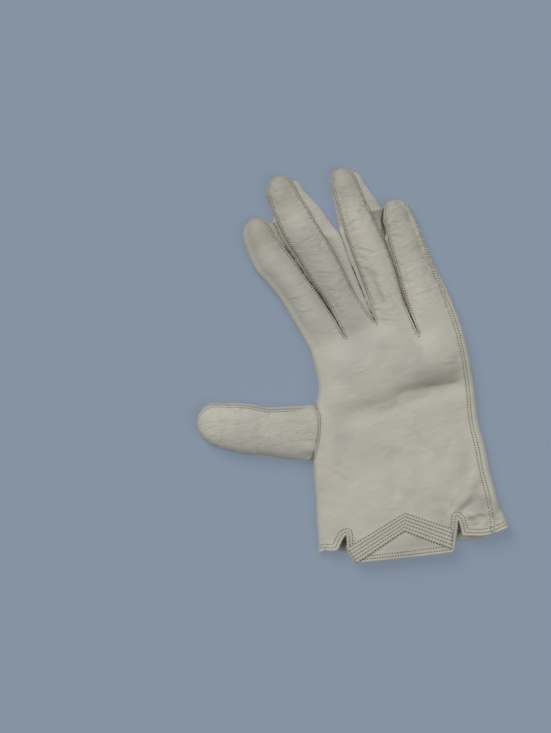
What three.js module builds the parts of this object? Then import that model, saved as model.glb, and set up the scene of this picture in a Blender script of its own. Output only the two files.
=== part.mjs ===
// A wrist-length dress glove of smooth kid leather, lying on its palm with the back of the hand up.
// Millimetres. +Y points to the fingertips, +X to the little finger, +Z up from the resting plane.
// The origin is the middle of the palm on the resting plane.
//
// The glove is sewn from these pieces:
//   trank             back and palm in one hide, folded round the forefinger side
//   thumb             a tube set into an oval hole beside that fold
//   fourchette_...    three strips, each folded into a V, that wall the sides of the fingers
//   chevron_band      the corded V that trims the tab of the cuff

import * as THREE from 'three';
import { mergeGeometries, mergeVertices } from 'three/addons/utils/BufferGeometryUtils.js';

const WALL = 1.2;
const SEAM_GAP = 0.4;
const FOURCHETTE_WALL = 1.0;
const HEM_WALL = 1.9;
const MERGE_TOLERANCE = 1e-3;

// How far the thumb's edge is tucked under the trank, and the drop from the trank's face to it.
const TUCK = WALL + SEAM_GAP;

// Grid of the hide. Each finger takes the same number of columns of the back and of the palm.
const STRIP_COLUMNS = 5;
const FOLD_COLUMNS = 4;
const SIDE_COLUMNS = 3;
const FINGER_COUNT = 4;
const BACK_COLUMNS = STRIP_COLUMNS * FINGER_COUNT;
const HAND_ROWS = 20;
const CUFF_ROWS = 3;
const TAB_ROWS = 5;
const FINGER_ROWS = 9;
const CAP_ROWS = 4;

// Points where neighbouring fingers part, from the forefinger to the little finger.
const CROTCHES = [
  { x: -12.2, y: 59.3 },
  { x: 6.5, y: 61.7 },
  { x: 27.0, y: 47.5 },
];

// Sections of the hand from the tops of the cuff notches to the crotches.
// at: share of the way. x1, y1: left end of the outline. x2, y2: right end. crown: height of the back.
// edge1, edge2: height where the back turns over into the left and the right side fold.
const HAND_SECTIONS = [
  { at: 0.00, x1: -63.2, y1: -42.6, x2: 38.2, y2: -60.0, crown: 10.2, edge1: 5.8, edge2: 9.2 },
  { at: 0.11, x1: -60.4, y1: -32.5, x2: 39.5, y2: -43.5, crown: 10.6, edge1: 6.2, edge2: 8.6 },
  { at: 0.22, x1: -57.3, y1: -21.5, x2: 41.2, y2: -26.5, crown: 10.8, edge1: 7.2, edge2: 8.0 },
  { at: 0.34, x1: -54.2, y1: -9.5, x2: 41.8, y2: -12.0, crown: 11.4, edge1: 9.3, edge2: 7.6 },
  { at: 0.45, x1: -50.6, y1: 3.5, x2: 43.4, y2: -1.5, crown: 12.0, edge1: 10.5, edge2: 7.6 },
  { at: 0.56, x1: -46.2, y1: 15.5, x2: 46.4, y2: 11.0, crown: 12.9, edge1: 10.9, edge2: 8.0 },
  { at: 0.67, x1: -40.9, y1: 26.5, x2: 48.0, y2: 22.5, crown: 15.8, edge1: 10.7, edge2: 8.9 },
  { at: 0.78, x1: -35.8, y1: 36.5, x2: 48.8, y2: 33.0, crown: 17.2, edge1: 9.4, edge2: 9.2 },
  { at: 0.89, x1: -33.8, y1: 47.0, x2: 49.2, y2: 42.0, crown: 16.4, edge1: 8.8, edge2: 9.0 },
  { at: 1.00, x1: -33.0, y1: 57.6, x2: 49.4, y2: 50.0, crown: 14.6, edge1: 8.4, edge2: 8.6 },
];

// Sections of each finger, the first at its root. seam1, seam2: edges of the back strip.
// y: station. out1, out2: edges of the palm strip. edge, crown: height at its edges, middle.
const FINGERS = [
  {
    name: 'index', tipX: -39.0, tipY: 139.0, capY: 126.5, leftFold: true, rightFold: false,
    leftRootY: 57.6, rightRootY: CROTCHES[0].y,
    sections: [
      { y: 57.0, seam1: -30.0, seam2: -12.2, out1: -33.0, out2: -12.2, edge: 8.4, crown: 14.0 },
      { y: 72.0, seam1: -32.4, seam2: -14.8, out1: -35.6, out2: -14.6, edge: 7.6, crown: 13.0 },
      { y: 88.0, seam1: -36.0, seam2: -17.6, out1: -39.2, out2: -17.0, edge: 7.4, crown: 12.4 },
      { y: 101.0, seam1: -40.4, seam2: -21.8, out1: -43.6, out2: -20.4, edge: 7.4, crown: 12.2 },
      { y: 111.0, seam1: -44.6, seam2: -25.8, out1: -47.8, out2: -23.2, edge: 7.6, crown: 12.1 },
      { y: 126.5, seam1: -45.8, seam2: -31.4, out1: -48.9, out2: -27.6, edge: 7.7, crown: 11.8 },
    ],
  },
  {
    name: 'middle', tipX: -18.6, tipY: 157.2, capY: 144.5, leftFold: false, rightFold: false,
    leftRootY: CROTCHES[0].y, rightRootY: CROTCHES[1].y,
    sections: [
      { y: 59.0, seam1: -12.2, seam2: 6.5, out1: -12.2, out2: 6.5, edge: 9.6, crown: 14.0 },
      { y: 72.0, seam1: -13.7, seam2: 3.0, out1: -13.6, out2: 4.1, edge: 8.0, crown: 13.4 },
      { y: 82.0, seam1: -15.4, seam2: 0.6, out1: -15.2, out2: 4.1, edge: 7.8, crown: 12.8 },
      { y: 95.5, seam1: -18.8, seam2: -1.1, out1: -18.4, out2: 4.1, edge: 7.8, crown: 12.6 },
      { y: 111.0, seam1: -21.8, seam2: -4.0, out1: -22.2, out2: 3.9, edge: 7.6, crown: 12.4 },
      { y: 123.0, seam1: -25.2, seam2: -6.5, out1: -25.8, out2: 0.9, edge: 7.6, crown: 12.2 },
      { y: 135.0, seam1: -27.0, seam2: -8.6, out1: -27.9, out2: -2.7, edge: 7.8, crown: 12.0 },
      { y: 144.5, seam1: -27.2, seam2: -11.0, out1: -28.3, out2: -7.2, edge: 7.7, crown: 11.8 },
    ],
  },
  {
    name: 'ring', tipX: 15.0, tipY: 150.2, capY: 138.0, leftFold: false, rightFold: false,
    leftRootY: CROTCHES[1].y, rightRootY: CROTCHES[2].y,
    sections: [
      { y: 47.0, seam1: 6.5, seam2: 27.0, out1: 6.5, out2: 27.0, edge: 9.6, crown: 14.0 },
      { y: 65.5, seam1: 7.1, seam2: 24.6, out1: 5.5, out2: 25.2, edge: 8.6, crown: 13.6 },
      { y: 72.0, seam1: 7.4, seam2: 24.6, out1: 5.0, out2: 25.4, edge: 8.0, crown: 13.2 },
      { y: 83.0, seam1: 8.3, seam2: 25.2, out1: 4.9, out2: 26.4, edge: 7.8, crown: 12.8 },
      { y: 99.0, seam1: 8.4, seam2: 25.4, out1: 4.9, out2: 28.0, edge: 7.6, crown: 12.4 },
      { y: 111.0, seam1: 7.5, seam2: 24.9, out1: 4.8, out2: 28.2, edge: 7.6, crown: 12.2 },
      { y: 123.0, seam1: 7.0, seam2: 23.9, out1: 5.7, out2: 29.2, edge: 7.7, crown: 12.1 },
      { y: 138.0, seam1: 8.2, seam2: 22.6, out1: 7.4, out2: 26.0, edge: 7.7, crown: 11.8 },
    ],
  },
  {
    name: 'little', tipX: 37.0, tipY: 123.6, capY: 111.5, leftFold: false, rightFold: true,
    leftRootY: CROTCHES[2].y, rightRootY: 50.0,
    sections: [
      { y: 47.0, seam1: 27.0, seam2: 46.2, out1: 27.0, out2: 49.4, edge: 9.0, crown: 13.6 },
      { y: 66.0, seam1: 26.3, seam2: 45.2, out1: 26.1, out2: 48.4, edge: 7.6, crown: 12.4 },
      { y: 82.0, seam1: 27.8, seam2: 44.1, out1: 27.2, out2: 47.2, edge: 7.2, crown: 11.6 },
      { y: 99.0, seam1: 29.7, seam2: 43.5, out1: 28.9, out2: 46.6, edge: 7.0, crown: 11.2 },
      { y: 111.5, seam1: 30.6, seam2: 42.1, out1: 29.7, out2: 45.0, edge: 6.8, crown: 10.8 },
    ],
  },
];
const FOLD_DEPTH = 3.2;
const FINGERTIP_HEIGHT = 4.6;
const ROOT_BLEND = 0.24;
const DOME_POWER = 2.4;
const HAND_DOME_POWER = 2.8;
const SIDE_BULGE = 0.7;

// Share of the hand's length from which its rows bend to meet the row of crotches.
const CROTCH_PULL_START = 0.6;

// The dip at each crotch, where the seam draws the back down.
const CROTCH_DIP = { depth: 2.2, reach: 7.5 };

// Row of the cap from which the back and palm strips are sewn to each other, past the fourchettes.
const CLOSED_CAP_ROW = 1;
const FOURCHETTE_INSET = 0.9;
const FOURCHETTE_HEADROOM = 0.3;
const FOURCHETTE_OPENING = 14;
const FOURCHETTE_FOLD_LIFT = 0.5;
const FOURCHETTE_END_GAP = 1.2;

// Shares of the back's width at which chosen columns lie, at the cuff and at the finger roots.
const CUFF_COLUMNS = [
  { column: 0, share: 0 },
  { column: 3, share: 0.133 },
  { column: 16, share: 0.786 },
  { column: 20, share: 1 },
];
const ROOT_COLUMNS = [
  { column: 0, share: 0 },
  { column: 5, share: 0.233 },
  { column: 10, share: 0.478 },
  { column: 15, share: 0.746 },
  { column: 20, share: 1 },
];

// Main dents and folds of the back: a long soft ridge or groove between two points.
// They fade out at the sides, the faster the greater FOLD_FADE is.
const FOLD_FADE = 3;
const FOLDS = [
  { name: 'valley below the knuckles', x1: -24, y1: 17, x2: 46, y2: 13, rise: -1.6, width: 6.5 },
  { name: 'hollow of the wrist', x1: -30, y1: -12, x2: -4, y2: -16, rise: -0.9, width: 9 },
  { name: 'upper lengthwise fold', x1: -4, y1: -8, x2: -9, y2: -30, rise: 0.9, width: 4.5 },
  { name: 'lower lengthwise fold', x1: 10, y1: -20, x2: 8, y2: -40, rise: 0.9, width: 4.5 },
  { name: 'slanting cuff fold', x1: 18, y1: -46, x2: 34, y2: -38, rise: 1.5, width: 3.2 },
  { name: 'hollow by the side seam', x1: 22, y1: -53, x2: 33, y2: -49, rise: -1.3, width: 3.4 },
];

// The cuff. The back has two notches, and between them a tab that hangs below the hem.
const NOTCH_COLUMNS = { left: 3, right: 16 };
const HEM = {
  left: { x: -65.0, y: -49.6 },
  notchLeft: { x: -55.2, y: -51.6 },
  notchRight: { x: 14.8, y: -66.0 },
  right: { x: 40.2, y: -70.4 },
  palmMiddle: { x: -12.0, y: -62.0 },
  palmRight: { x: 22.0, y: -72.6 },
};
const TAB = {
  waistDrop: 0.45,
  leftWaist: { x: -49.6, y: -54.6 },
  rightWaist: { x: 9.6, y: -63.4 },
  left: { x: -47.2, y: -62.8 },
  right: { x: 5.6, y: -73.4 },
  sag: 1.6,
  hemHeight: 8.8,
  rightRise: 0.8,
  droop: 1.5,
};
const HEM_WIDTH = 2;
const HEM_CROWN = 10.2;
const HEM_LEFT_EDGE = 5.2;
const HEM_RIGHT_EDGE = 9.8;

// The thumb and the hole that it is set into, in rows of the hand and columns of the palm.
const THUMB_HOLE = { firstRow: 8, lastRow: 14, palmColumns: 2 };
const THUMB = {
  rootX: -46.0, rootY: 13.0, lean: 69,
  length: 66,
  tuckCells: 0.42,
  emergeCells: -0.16,
  clearCells: -0.35,
  clearDepth: 0.35,
  fold: 4.0,
};
const THUMB_SECTIONS = [
  { at: 0.00, halfWidth: 17.0, edge: 8.8, crown: 10.8 },
  { at: 0.20, halfWidth: 15.4, edge: 8.0, crown: 12.4 },
  { at: 0.45, halfWidth: 14.2, edge: 7.4, crown: 12.8 },
  { at: 0.70, halfWidth: 13.2, edge: 7.2, crown: 12.2 },
  { at: 0.82, halfWidth: 12.4, edge: 7.0, crown: 11.6 },
];
const THUMB_CAP = 0.82;
const THUMB_BLEND = 0.34;
const THUMB_STATIONS = [0.10, 0.18, 0.26, 0.34, 0.44, 0.54, 0.64, 0.74, 0.82];

// The corded chevron on the tab: the corners of its upper and lower lines, in plan.
const CHEVRON = {
  cords: 5,
  lift: 0.45,
  base: 0.5,
  cordHeight: 0.9,
  stepsPerArm: 6,
  upper: { leftX: -45.6, leftY: -52.6, apexX: -12.5, apexY: -44.9, rightX: 9.0, rightY: -61.2 },
  lower: { leftX: -40.6, leftY: -62.4, apexX: -16.2, apexY: -54.8, rightX: 5.0, rightY: -71.6 },
};

const COLOURS = {
  leather: 0xe9e1c9,
  fourchette: 0xe4dcc6,
  cording: 0xdfd6be,
};

const lerp = THREE.MathUtils.lerp;
const clamp = THREE.MathUtils.clamp;

function smoothstep(value) {
  const t = clamp(value, 0, 1);
  return t * t * (3 - 2 * t);
}

// A smooth curve through one column of a table, by another column that rises.
function sample(rows, key, column, at) {
  const last = rows.length - 1;
  if (at <= rows[0][key]) return rows[0][column];
  if (at >= rows[last][key]) return rows[last][column];
  const i = rows.findIndex((row) => row[key] > at) - 1;
  const slopeAt = (k) => {
    const before = rows[Math.max(k - 1, 0)];
    const after = rows[Math.min(k + 1, last)];
    return (after[column] - before[column]) / (after[key] - before[key]);
  };
  const span = rows[i + 1][key] - rows[i][key];
  const t = (at - rows[i][key]) / span;
  const startShare = 2 * t ** 3 - 3 * t ** 2 + 1;
  const startSlope = (t ** 3 - 2 * t ** 2 + t) * span * slopeAt(i);
  const endSlope = (t ** 3 - t ** 2) * span * slopeAt(i + 1);
  return startShare * rows[i][column] + (1 - startShare) * rows[i + 1][column] + startSlope + endSlope;
}

// A straight-line reading of a table.
function read(rows, key, column, at) {
  const last = rows.length - 1;
  if (at <= rows[0][key]) return rows[0][column];
  if (at >= rows[last][key]) return rows[last][column];
  const i = rows.findIndex((row) => row[key] > at) - 1;
  return lerp(rows[i][column], rows[i + 1][column], (at - rows[i][key]) / (rows[i + 1][key] - rows[i][key]));
}

function dome(share, power) {
  return 1 - Math.abs(2 * share - 1) ** power;
}

// Height that the folds and dents add at one place of the back.
function foldRise(x, y) {
  let rise = 0;
  for (const fold of FOLDS) {
    const alongX = fold.x2 - fold.x1;
    const alongY = fold.y2 - fold.y1;
    const reach = (x - fold.x1) * alongX + (y - fold.y1) * alongY;
    const share = clamp(reach / (alongX ** 2 + alongY ** 2), 0, 1);
    const distance = Math.hypot(x - fold.x1 - share * alongX, y - fold.y1 - share * alongY);
    rise += fold.rise * Math.exp(-((distance / fold.width) ** 2));
  }
  return rise;
}

function crotchDip(x, y) {
  let dip = 0;
  for (const crotch of CROTCHES) {
    const distance = Math.hypot(x - crotch.x, y - crotch.y);
    dip += CROTCH_DIP.depth * Math.exp(-((distance / CROTCH_DIP.reach) ** 2));
  }
  return dip;
}

// Share of the back's width at a column, sliding from the cuff's spacing to the fingers' spacing.
function columnShare(column, at) {
  const cuff = read(CUFF_COLUMNS, 'column', 'share', column);
  const root = read(ROOT_COLUMNS, 'column', 'share', column);
  return lerp(cuff, root, at);
}

// The row of crotches, as a point of the back at a column.
function crotchRow(column) {
  const index = Math.min(Math.floor(column / STRIP_COLUMNS), FINGER_COUNT - 1);
  const finger = FINGERS[index];
  const share = column / STRIP_COLUMNS - index;
  const root = finger.sections[0];
  return {
    x: lerp(root.seam1, root.seam2, share),
    y: lerp(finger.leftRootY, finger.rightRootY, share),
  };
}

// Plan position of the back at a column and a share of the hand's length.
function handPlan(column, at) {
  const value = (key) => sample(HAND_SECTIONS, 'at', key, at);
  const share = columnShare(column, at);
  const x = lerp(value('x1') + FOLD_DEPTH, value('x2') - FOLD_DEPTH, share);
  const y = lerp(value('y1'), value('y2'), share);
  const top = HAND_SECTIONS[HAND_SECTIONS.length - 1];
  const topShare = columnShare(column, 1);
  const crotch = crotchRow(column);
  const pull = smoothstep((at - CROTCH_PULL_START) / (1 - CROTCH_PULL_START));
  return {
    x: x + pull * (crotch.x - lerp(top.x1 + FOLD_DEPTH, top.x2 - FOLD_DEPTH, topShare)),
    y: y + pull * (crotch.y - lerp(top.y1, top.y2, topShare)),
    share,
  };
}

function handHeight(column, at) {
  const value = (key) => sample(HAND_SECTIONS, 'at', key, at);
  const plan = handPlan(column, at);
  const edge = lerp(value('edge1'), value('edge2'), plan.share);
  const round = dome(plan.share, HAND_DOME_POWER);
  const bulge = (value('crown') - edge) * round;
  const soft = Math.min(1, FOLD_FADE * round);
  return edge + bulge + soft * foldRise(plan.x, plan.y) - crotchDip(plan.x, plan.y);
}

// A side fold: half an ellipse from the back's edge round to the palm. side is -1 left, 1 right.
function foldPoint(edge, side, share, depth) {
  const angle = Math.PI * share;
  return new THREE.Vector3(
    edge.x + side * depth * Math.sin(angle),
    edge.y,
    edge.z * 0.5 * (1 + Math.cos(angle)),
  );
}

// Ring columns of the hand: the back, the right fold, the palm from right to left, the left fold.
const RIGHT_FOLD_START = BACK_COLUMNS;
const PALM_START = RIGHT_FOLD_START + FOLD_COLUMNS;
const LEFT_FOLD_START = PALM_START + BACK_COLUMNS;
const RING_COLUMNS = LEFT_FOLD_START + FOLD_COLUMNS;

// A point of a ring whose back is given as a function of the column.
function ringPoint(ringColumn, backAt) {
  if (ringColumn <= RIGHT_FOLD_START) return backAt(ringColumn);
  if (ringColumn < PALM_START) {
    const share = (ringColumn - RIGHT_FOLD_START) / FOLD_COLUMNS;
    return foldPoint(backAt(BACK_COLUMNS), 1, share, FOLD_DEPTH);
  }
  if (ringColumn <= LEFT_FOLD_START) {
    const over = backAt(LEFT_FOLD_START - ringColumn);
    return new THREE.Vector3(over.x, over.y, 0);
  }
  const share = (RING_COLUMNS - ringColumn) / FOLD_COLUMNS;
  return foldPoint(backAt(0), -1, share, FOLD_DEPTH);
}

function handBack(column, at) {
  const plan = handPlan(column, at);
  return new THREE.Vector3(plan.x, plan.y, handHeight(column, at));
}

function handPoint(ringColumn, row) {
  const at = row / HAND_ROWS;
  return ringPoint(ringColumn, (column) => handBack(column, at));
}

// Hem of the back or the palm at a column: runs between the corners, the notches and the palm's dip.
function hemPlan(column, onPalm) {
  const innerStops = onPalm
    ? [{ column: 9, ...HEM.palmMiddle }, { column: 17, ...HEM.palmRight }]
    : [{ column: NOTCH_COLUMNS.left, ...HEM.notchLeft }, { column: NOTCH_COLUMNS.right, ...HEM.notchRight }];
  const stops = [
    { column: 0, x: HEM.left.x + FOLD_DEPTH, y: HEM.left.y },
    ...innerStops,
    { column: BACK_COLUMNS, x: HEM.right.x - FOLD_DEPTH, y: HEM.right.y },
  ];
  return { x: sample(stops, 'column', 'x', column), y: sample(stops, 'column', 'y', column) };
}

function hemHeight(share) {
  const edge = lerp(HEM_LEFT_EDGE, HEM_RIGHT_EDGE, share);
  return edge + (HEM_CROWN - edge) * dome(share, HAND_DOME_POWER);
}

function tabHemHeight(share) {
  return TAB.hemHeight + TAB.rightRise * share;
}

// The cuff below the tops of the notches, apart from the tab. drop runs from 0 to 1 at the hem.
function cuffPoint(ringColumn, drop) {
  const onPalm = ringColumn >= PALM_START && ringColumn <= LEFT_FOLD_START;
  const backAt = (column) => {
    const top = handBack(column, 0);
    const hem = hemPlan(column, onPalm);
    const share = columnShare(column, 0);
    const height = lerp(top.z, hemHeight(share), drop) + (foldRise(hem.x, hem.y) * drop);
    return new THREE.Vector3(lerp(top.x, hem.x, drop), lerp(top.y, hem.y, drop), height);
  };
  return ringPoint(ringColumn, backAt);
}

// The tab between the notches. share runs across it and drop runs down it.
function tabPoint(share, drop) {
  const column = lerp(NOTCH_COLUMNS.left, NOTCH_COLUMNS.right, share);
  const top = handBack(column, 0);
  const waist = TAB.waistDrop;
  const edgeAt = (upper, middle, lower) => {
    const key = drop < waist ? drop / waist : (drop - waist) / (1 - waist);
    const from = drop < waist ? upper : middle;
    const to = drop < waist ? middle : lower;
    return { x: lerp(from.x, to.x, key), y: lerp(from.y, to.y, key) };
  };
  const left = edgeAt(handBack(NOTCH_COLUMNS.left, 0), TAB.leftWaist, TAB.left);
  const right = edgeAt(handBack(NOTCH_COLUMNS.right, 0), TAB.rightWaist, TAB.right);
  const sag = TAB.sag * drop * dome(share, 2);
  const straightTop = lerp(handBack(NOTCH_COLUMNS.left, 0).y, handBack(NOTCH_COLUMNS.right, 0).y, share);
  const height = lerp(top.z, tabHemHeight(share), drop ** TAB.droop);
  return new THREE.Vector3(
    lerp(left.x, right.x, share),
    lerp(left.y, right.y, share) - sag + (top.y - straightTop) * (1 - drop),
    height,
  );
}

// Back, palm and sides of one finger. along runs from 0 at the crotches to 1 at the fingertip.
function fingerFrame(finger, along) {
  const side = (rootY, seamKey, outKey) => {
    const y = lerp(rootY, finger.tipY, along);
    const cap = clamp((y - finger.capY) / (finger.tipY - finger.capY), 0, 1);
    const shrink = Math.sqrt(Math.max(0, 1 - cap * cap));
    const sections = [{ ...finger.sections[0], y: rootY }, ...finger.sections.slice(1)];
    const value = (key) => sample(sections, 'y', key, y);
    return {
      y,
      shrink,
      seam: lerp(finger.tipX, value(seamKey), shrink),
      out: lerp(finger.tipX, value(outKey), shrink),
      edge: value('edge'),
      crown: value('crown'),
    };
  };
  return {
    left: side(finger.leftRootY, 'seam1', 'out1'),
    right: side(finger.rightRootY, 'seam2', 'out2'),
  };
}

function fingerBack(finger, fingerIndex, along, share) {
  const { left, right } = fingerFrame(finger, along);
  const x = lerp(left.seam, right.seam, share);
  const y = lerp(left.y, right.y, share);
  const edge = lerp(left.edge, right.edge, share);
  const crown = lerp(left.crown, right.crown, share);
  const own = edge + (crown - edge) * dome(share, DOME_POWER);
  const hand = handHeight((fingerIndex + share) * STRIP_COLUMNS, 1);
  const shrink = lerp(left.shrink, right.shrink, share);
  const height = lerp(hand, own, smoothstep(along / ROOT_BLEND));
  return new THREE.Vector3(x, y, lerp(FINGERTIP_HEIGHT, height, shrink));
}

function fingerPalm(finger, along, share) {
  const { left, right } = fingerFrame(finger, along);
  const leftX = finger.leftFold ? left.seam : left.out;
  const rightX = finger.rightFold ? right.seam : right.out;
  const shrink = lerp(left.shrink, right.shrink, share);
  return new THREE.Vector3(
    lerp(leftX, rightX, share),
    lerp(left.y, right.y, share),
    lerp(FINGERTIP_HEIGHT, 0, shrink),
  );
}

// The side of a finger, from the back strip's edge (share 0) down to the palm strip's edge (1).
function fingerSide(finger, fingerIndex, side, along, share) {
  const across = side < 0 ? 0 : 1;
  const top = fingerBack(finger, fingerIndex, along, across);
  const bottom = fingerPalm(finger, along, across);
  const frame = fingerFrame(finger, along);
  const shrink = side < 0 ? frame.left.shrink : frame.right.shrink;
  const isFold = side < 0 ? finger.leftFold : finger.rightFold;
  if (isFold) {
    const angle = Math.PI * share;
    const middle = (top.z + bottom.z) / 2;
    const half = (top.z - bottom.z) / 2;
    const reach = FOLD_DEPTH * shrink;
    return new THREE.Vector3(top.x + side * reach * Math.sin(angle), top.y, middle + half * Math.cos(angle));
  }
  const point = new THREE.Vector3().lerpVectors(top, bottom, share);
  point.x += side * SIDE_BULGE * shrink * Math.sin(Math.PI * share) * smoothstep(along / ROOT_BLEND);
  return point;
}

// One patch of a sheet: a plane's grid with every vertex moved, and chosen cells left out.
function patch(columns, rows, pointAt, keepCell = () => true) {
  const plane = new THREE.PlaneGeometry(1, 1, columns, rows);
  plane.deleteAttribute('normal');
  plane.deleteAttribute('uv');
  const position = plane.getAttribute('position');
  for (let row = 0; row <= rows; row += 1) {
    for (let column = 0; column <= columns; column += 1) {
      const point = pointAt(column, row);
      position.setXYZ(row * (columns + 1) + column, point.x, point.y, point.z);
    }
  }
  const kept = [];
  plane.index.array.forEach((vertex, k) => {
    const cell = Math.floor(k / 6);
    if (keepCell(cell % columns, Math.floor(cell / columns))) kept.push(vertex);
  });
  plane.setIndex(kept);
  return plane;
}

// Joins patches into one sheet and gives it a wall inwards, with rims along its free edges.
function thicken(patches, wallAt) {
  const sheet = mergeVertices(mergeGeometries(patches), MERGE_TOLERANCE);
  const triangles = [];
  for (let k = 0; k < sheet.index.count; k += 3) {
    const corners = [sheet.index.getX(k), sheet.index.getX(k + 1), sheet.index.getX(k + 2)];
    if (new Set(corners).size === 3) triangles.push(corners);
  }
  sheet.setIndex(triangles.flat());
  sheet.computeVertexNormals();
  const position = sheet.getAttribute('position');
  const normal = sheet.getAttribute('normal');
  const count = position.count;
  const vertices = new Float32Array(count * 6);
  for (let v = 0; v < count; v += 1) {
    const point = new THREE.Vector3().fromBufferAttribute(position, v);
    const inward = new THREE.Vector3().fromBufferAttribute(normal, v).multiplyScalar(-wallAt(point));
    point.toArray(vertices, v * 3);
    point.add(inward).toArray(vertices, (count + v) * 3);
  }
  const edges = new Map();
  const faces = [];
  for (const [a, b, c] of triangles) {
    faces.push(a, b, c);
    faces.push(count + c, count + b, count + a);
    for (const [from, to] of [[a, b], [b, c], [c, a]]) {
      if (!edges.delete(`${to}_${from}`)) edges.set(`${from}_${to}`, [from, to]);
    }
  }
  for (const [from, to] of edges.values()) {
    faces.push(to, from, count + from);
    faces.push(to, count + from, count + to);
  }
  const solid = new THREE.BufferGeometry();
  solid.setAttribute('position', new THREE.BufferAttribute(vertices, 3));
  solid.setIndex(faces);
  return mergeVertices(solid, MERGE_TOLERANCE);
}

// Stations along a finger: even steps to the cap, then steps that close its round end.
function fingerStations(finger) {
  const longest = Math.min(finger.leftRootY, finger.rightRootY);
  const capAt = (finger.capY - longest) / (finger.tipY - longest);
  const stations = [];
  for (let k = 0; k <= FINGER_ROWS; k += 1) stations.push(capAt * k / FINGER_ROWS);
  for (let k = 1; k <= CAP_ROWS; k += 1) {
    stations.push(lerp(capAt, 1, Math.sin(Math.PI / 2 * k / CAP_ROWS)));
  }
  return stations;
}

// The parts of one finger that belong to the trank.
function fingerPatches(finger, fingerIndex) {
  const stations = fingerStations(finger);
  const rows = stations.length - 1;
  const along = (row) => stations[rows - row];
  const closedRow = (row) => rows - row - 1 >= FINGER_ROWS + CLOSED_CAP_ROW;
  const across = (c) => c / STRIP_COLUMNS;
  const back = patch(STRIP_COLUMNS, rows, (c, r) => fingerBack(finger, fingerIndex, along(r), across(c)));
  const palm = patch(STRIP_COLUMNS, rows, (c, r) => fingerPalm(finger, along(r), 1 - across(c)));
  const sides = [-1, 1].map((side) => {
    const isFold = side < 0 ? finger.leftFold : finger.rightFold;
    const columns = isFold ? FOLD_COLUMNS : SIDE_COLUMNS;
    const share = (c) => (side < 0 ? 1 - c / columns : c / columns);
    const keep = isFold ? () => true : (c, r) => closedRow(r);
    return patch(columns, rows, (c, r) => fingerSide(finger, fingerIndex, side, along(r), share(c)), keep);
  });
  return [back, palm, ...sides];
}

function inThumbHole(ringColumn, row) {
  const holeStart = LEFT_FOLD_START - THUMB_HOLE.palmColumns;
  return ringColumn >= holeStart && row >= THUMB_HOLE.firstRow && row < THUMB_HOLE.lastRow;
}

function isTabColumn(ringColumn) {
  return ringColumn >= NOTCH_COLUMNS.left && ringColumn < NOTCH_COLUMNS.right;
}

function handPatch() {
  const keep = (c, r) => !inThumbHole(c, HAND_ROWS - 1 - r);
  return patch(RING_COLUMNS, HAND_ROWS, (c, r) => handPoint(c, HAND_ROWS - r), keep);
}

function cuffPatches() {
  const keep = (c) => !isTabColumn(c);
  const skirt = patch(RING_COLUMNS, CUFF_ROWS, (c, r) => cuffPoint(c, r / CUFF_ROWS), keep);
  const tabColumns = NOTCH_COLUMNS.right - NOTCH_COLUMNS.left;
  const tab = patch(tabColumns, TAB_ROWS, (c, r) => tabPoint(c / tabColumns, r / TAB_ROWS));
  return [skirt, tab];
}

// The wall is one layer of leather, and two where the hem is turned under.
function trankWall(point) {
  const hemLine = lerp(HEM.left.y, HEM.right.y, (point.x - HEM.left.x) / (HEM.right.x - HEM.left.x));
  return point.y < hemLine + HEM_WIDTH ? HEM_WALL : WALL;
}

function makeTrank() {
  const patches = [handPatch(), ...cuffPatches()];
  FINGERS.forEach((finger, index) => patches.push(...fingerPatches(finger, index)));
  return thicken(patches, trankWall);
}

// A V of leather between two fingers, with its fold at the crotch and its ends near the fingertips.
function makeFourchette(leftIndex) {
  const wallSide = (fingerIndex, side, along, share) => {
    const finger = FINGERS[fingerIndex];
    const top = fingerSide(finger, fingerIndex, side, along, 0);
    const bottom = fingerSide(finger, fingerIndex, side, along, 1);
    const open = Math.min(1, along * FOURCHETTE_OPENING);
    const inset = FOURCHETTE_INSET * open;
    const point = new THREE.Vector3().lerpVectors(top, bottom, share);
    const slant = Math.abs(top.x - bottom.x) / top.distanceTo(bottom);
    const highest = top.z - WALL - SEAM_GAP - FOURCHETTE_HEADROOM;
    const lowest = bottom.z + WALL + SEAM_GAP + FOURCHETTE_WALL * slant;
    point.z = lerp(highest, lowest, share);
    point.x += side * (SIDE_BULGE * Math.sin(Math.PI * share) * smoothstep(along / ROOT_BLEND) - inset);
    point.y += FOURCHETTE_FOLD_LIFT * (1 - open);
    return point;
  };
  const path = [];
  const stationsOf = (index) => {
    const all = fingerStations(FINGERS[index]);
    const closing = FINGER_ROWS + CLOSED_CAP_ROW;
    const length = FINGERS[index].tipY - FINGERS[index].leftRootY;
    return [...all.slice(1, closing), all[closing] - FOURCHETTE_END_GAP / length];
  };
  for (const along of stationsOf(leftIndex).reverse()) path.push({ finger: leftIndex, side: 1, along });
  path.push({ finger: leftIndex, side: 1, along: 0 });
  for (const along of stationsOf(leftIndex + 1)) path.push({ finger: leftIndex + 1, side: -1, along });
  const last = path.length - 1;
  const sheet = patch(last, SIDE_COLUMNS, (c, r) => {
    const stop = path[last - c];
    return wallSide(stop.finger, stop.side, stop.along, r / SIDE_COLUMNS);
  });
  return thicken([sheet], () => FOURCHETTE_WALL);
}

// The rim of the thumb hole, as ring columns and rows in order round it.
function holeRim() {
  const { firstRow, lastRow, palmColumns } = THUMB_HOLE;
  const nearColumn = LEFT_FOLD_START - palmColumns;
  const rim = [];
  const add = (column, row, part) => rim.push({ column, row, part });
  for (let row = firstRow; row < lastRow; row += 1) add(RING_COLUMNS, row, 0);
  for (let column = RING_COLUMNS; column > nearColumn; column -= 1) add(column, lastRow, 1);
  for (let row = lastRow; row > firstRow; row -= 1) add(nearColumn, row, 2);
  for (let column = nearColumn; column < RING_COLUMNS; column += 1) add(column, firstRow, 3);
  return rim;
}

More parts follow.
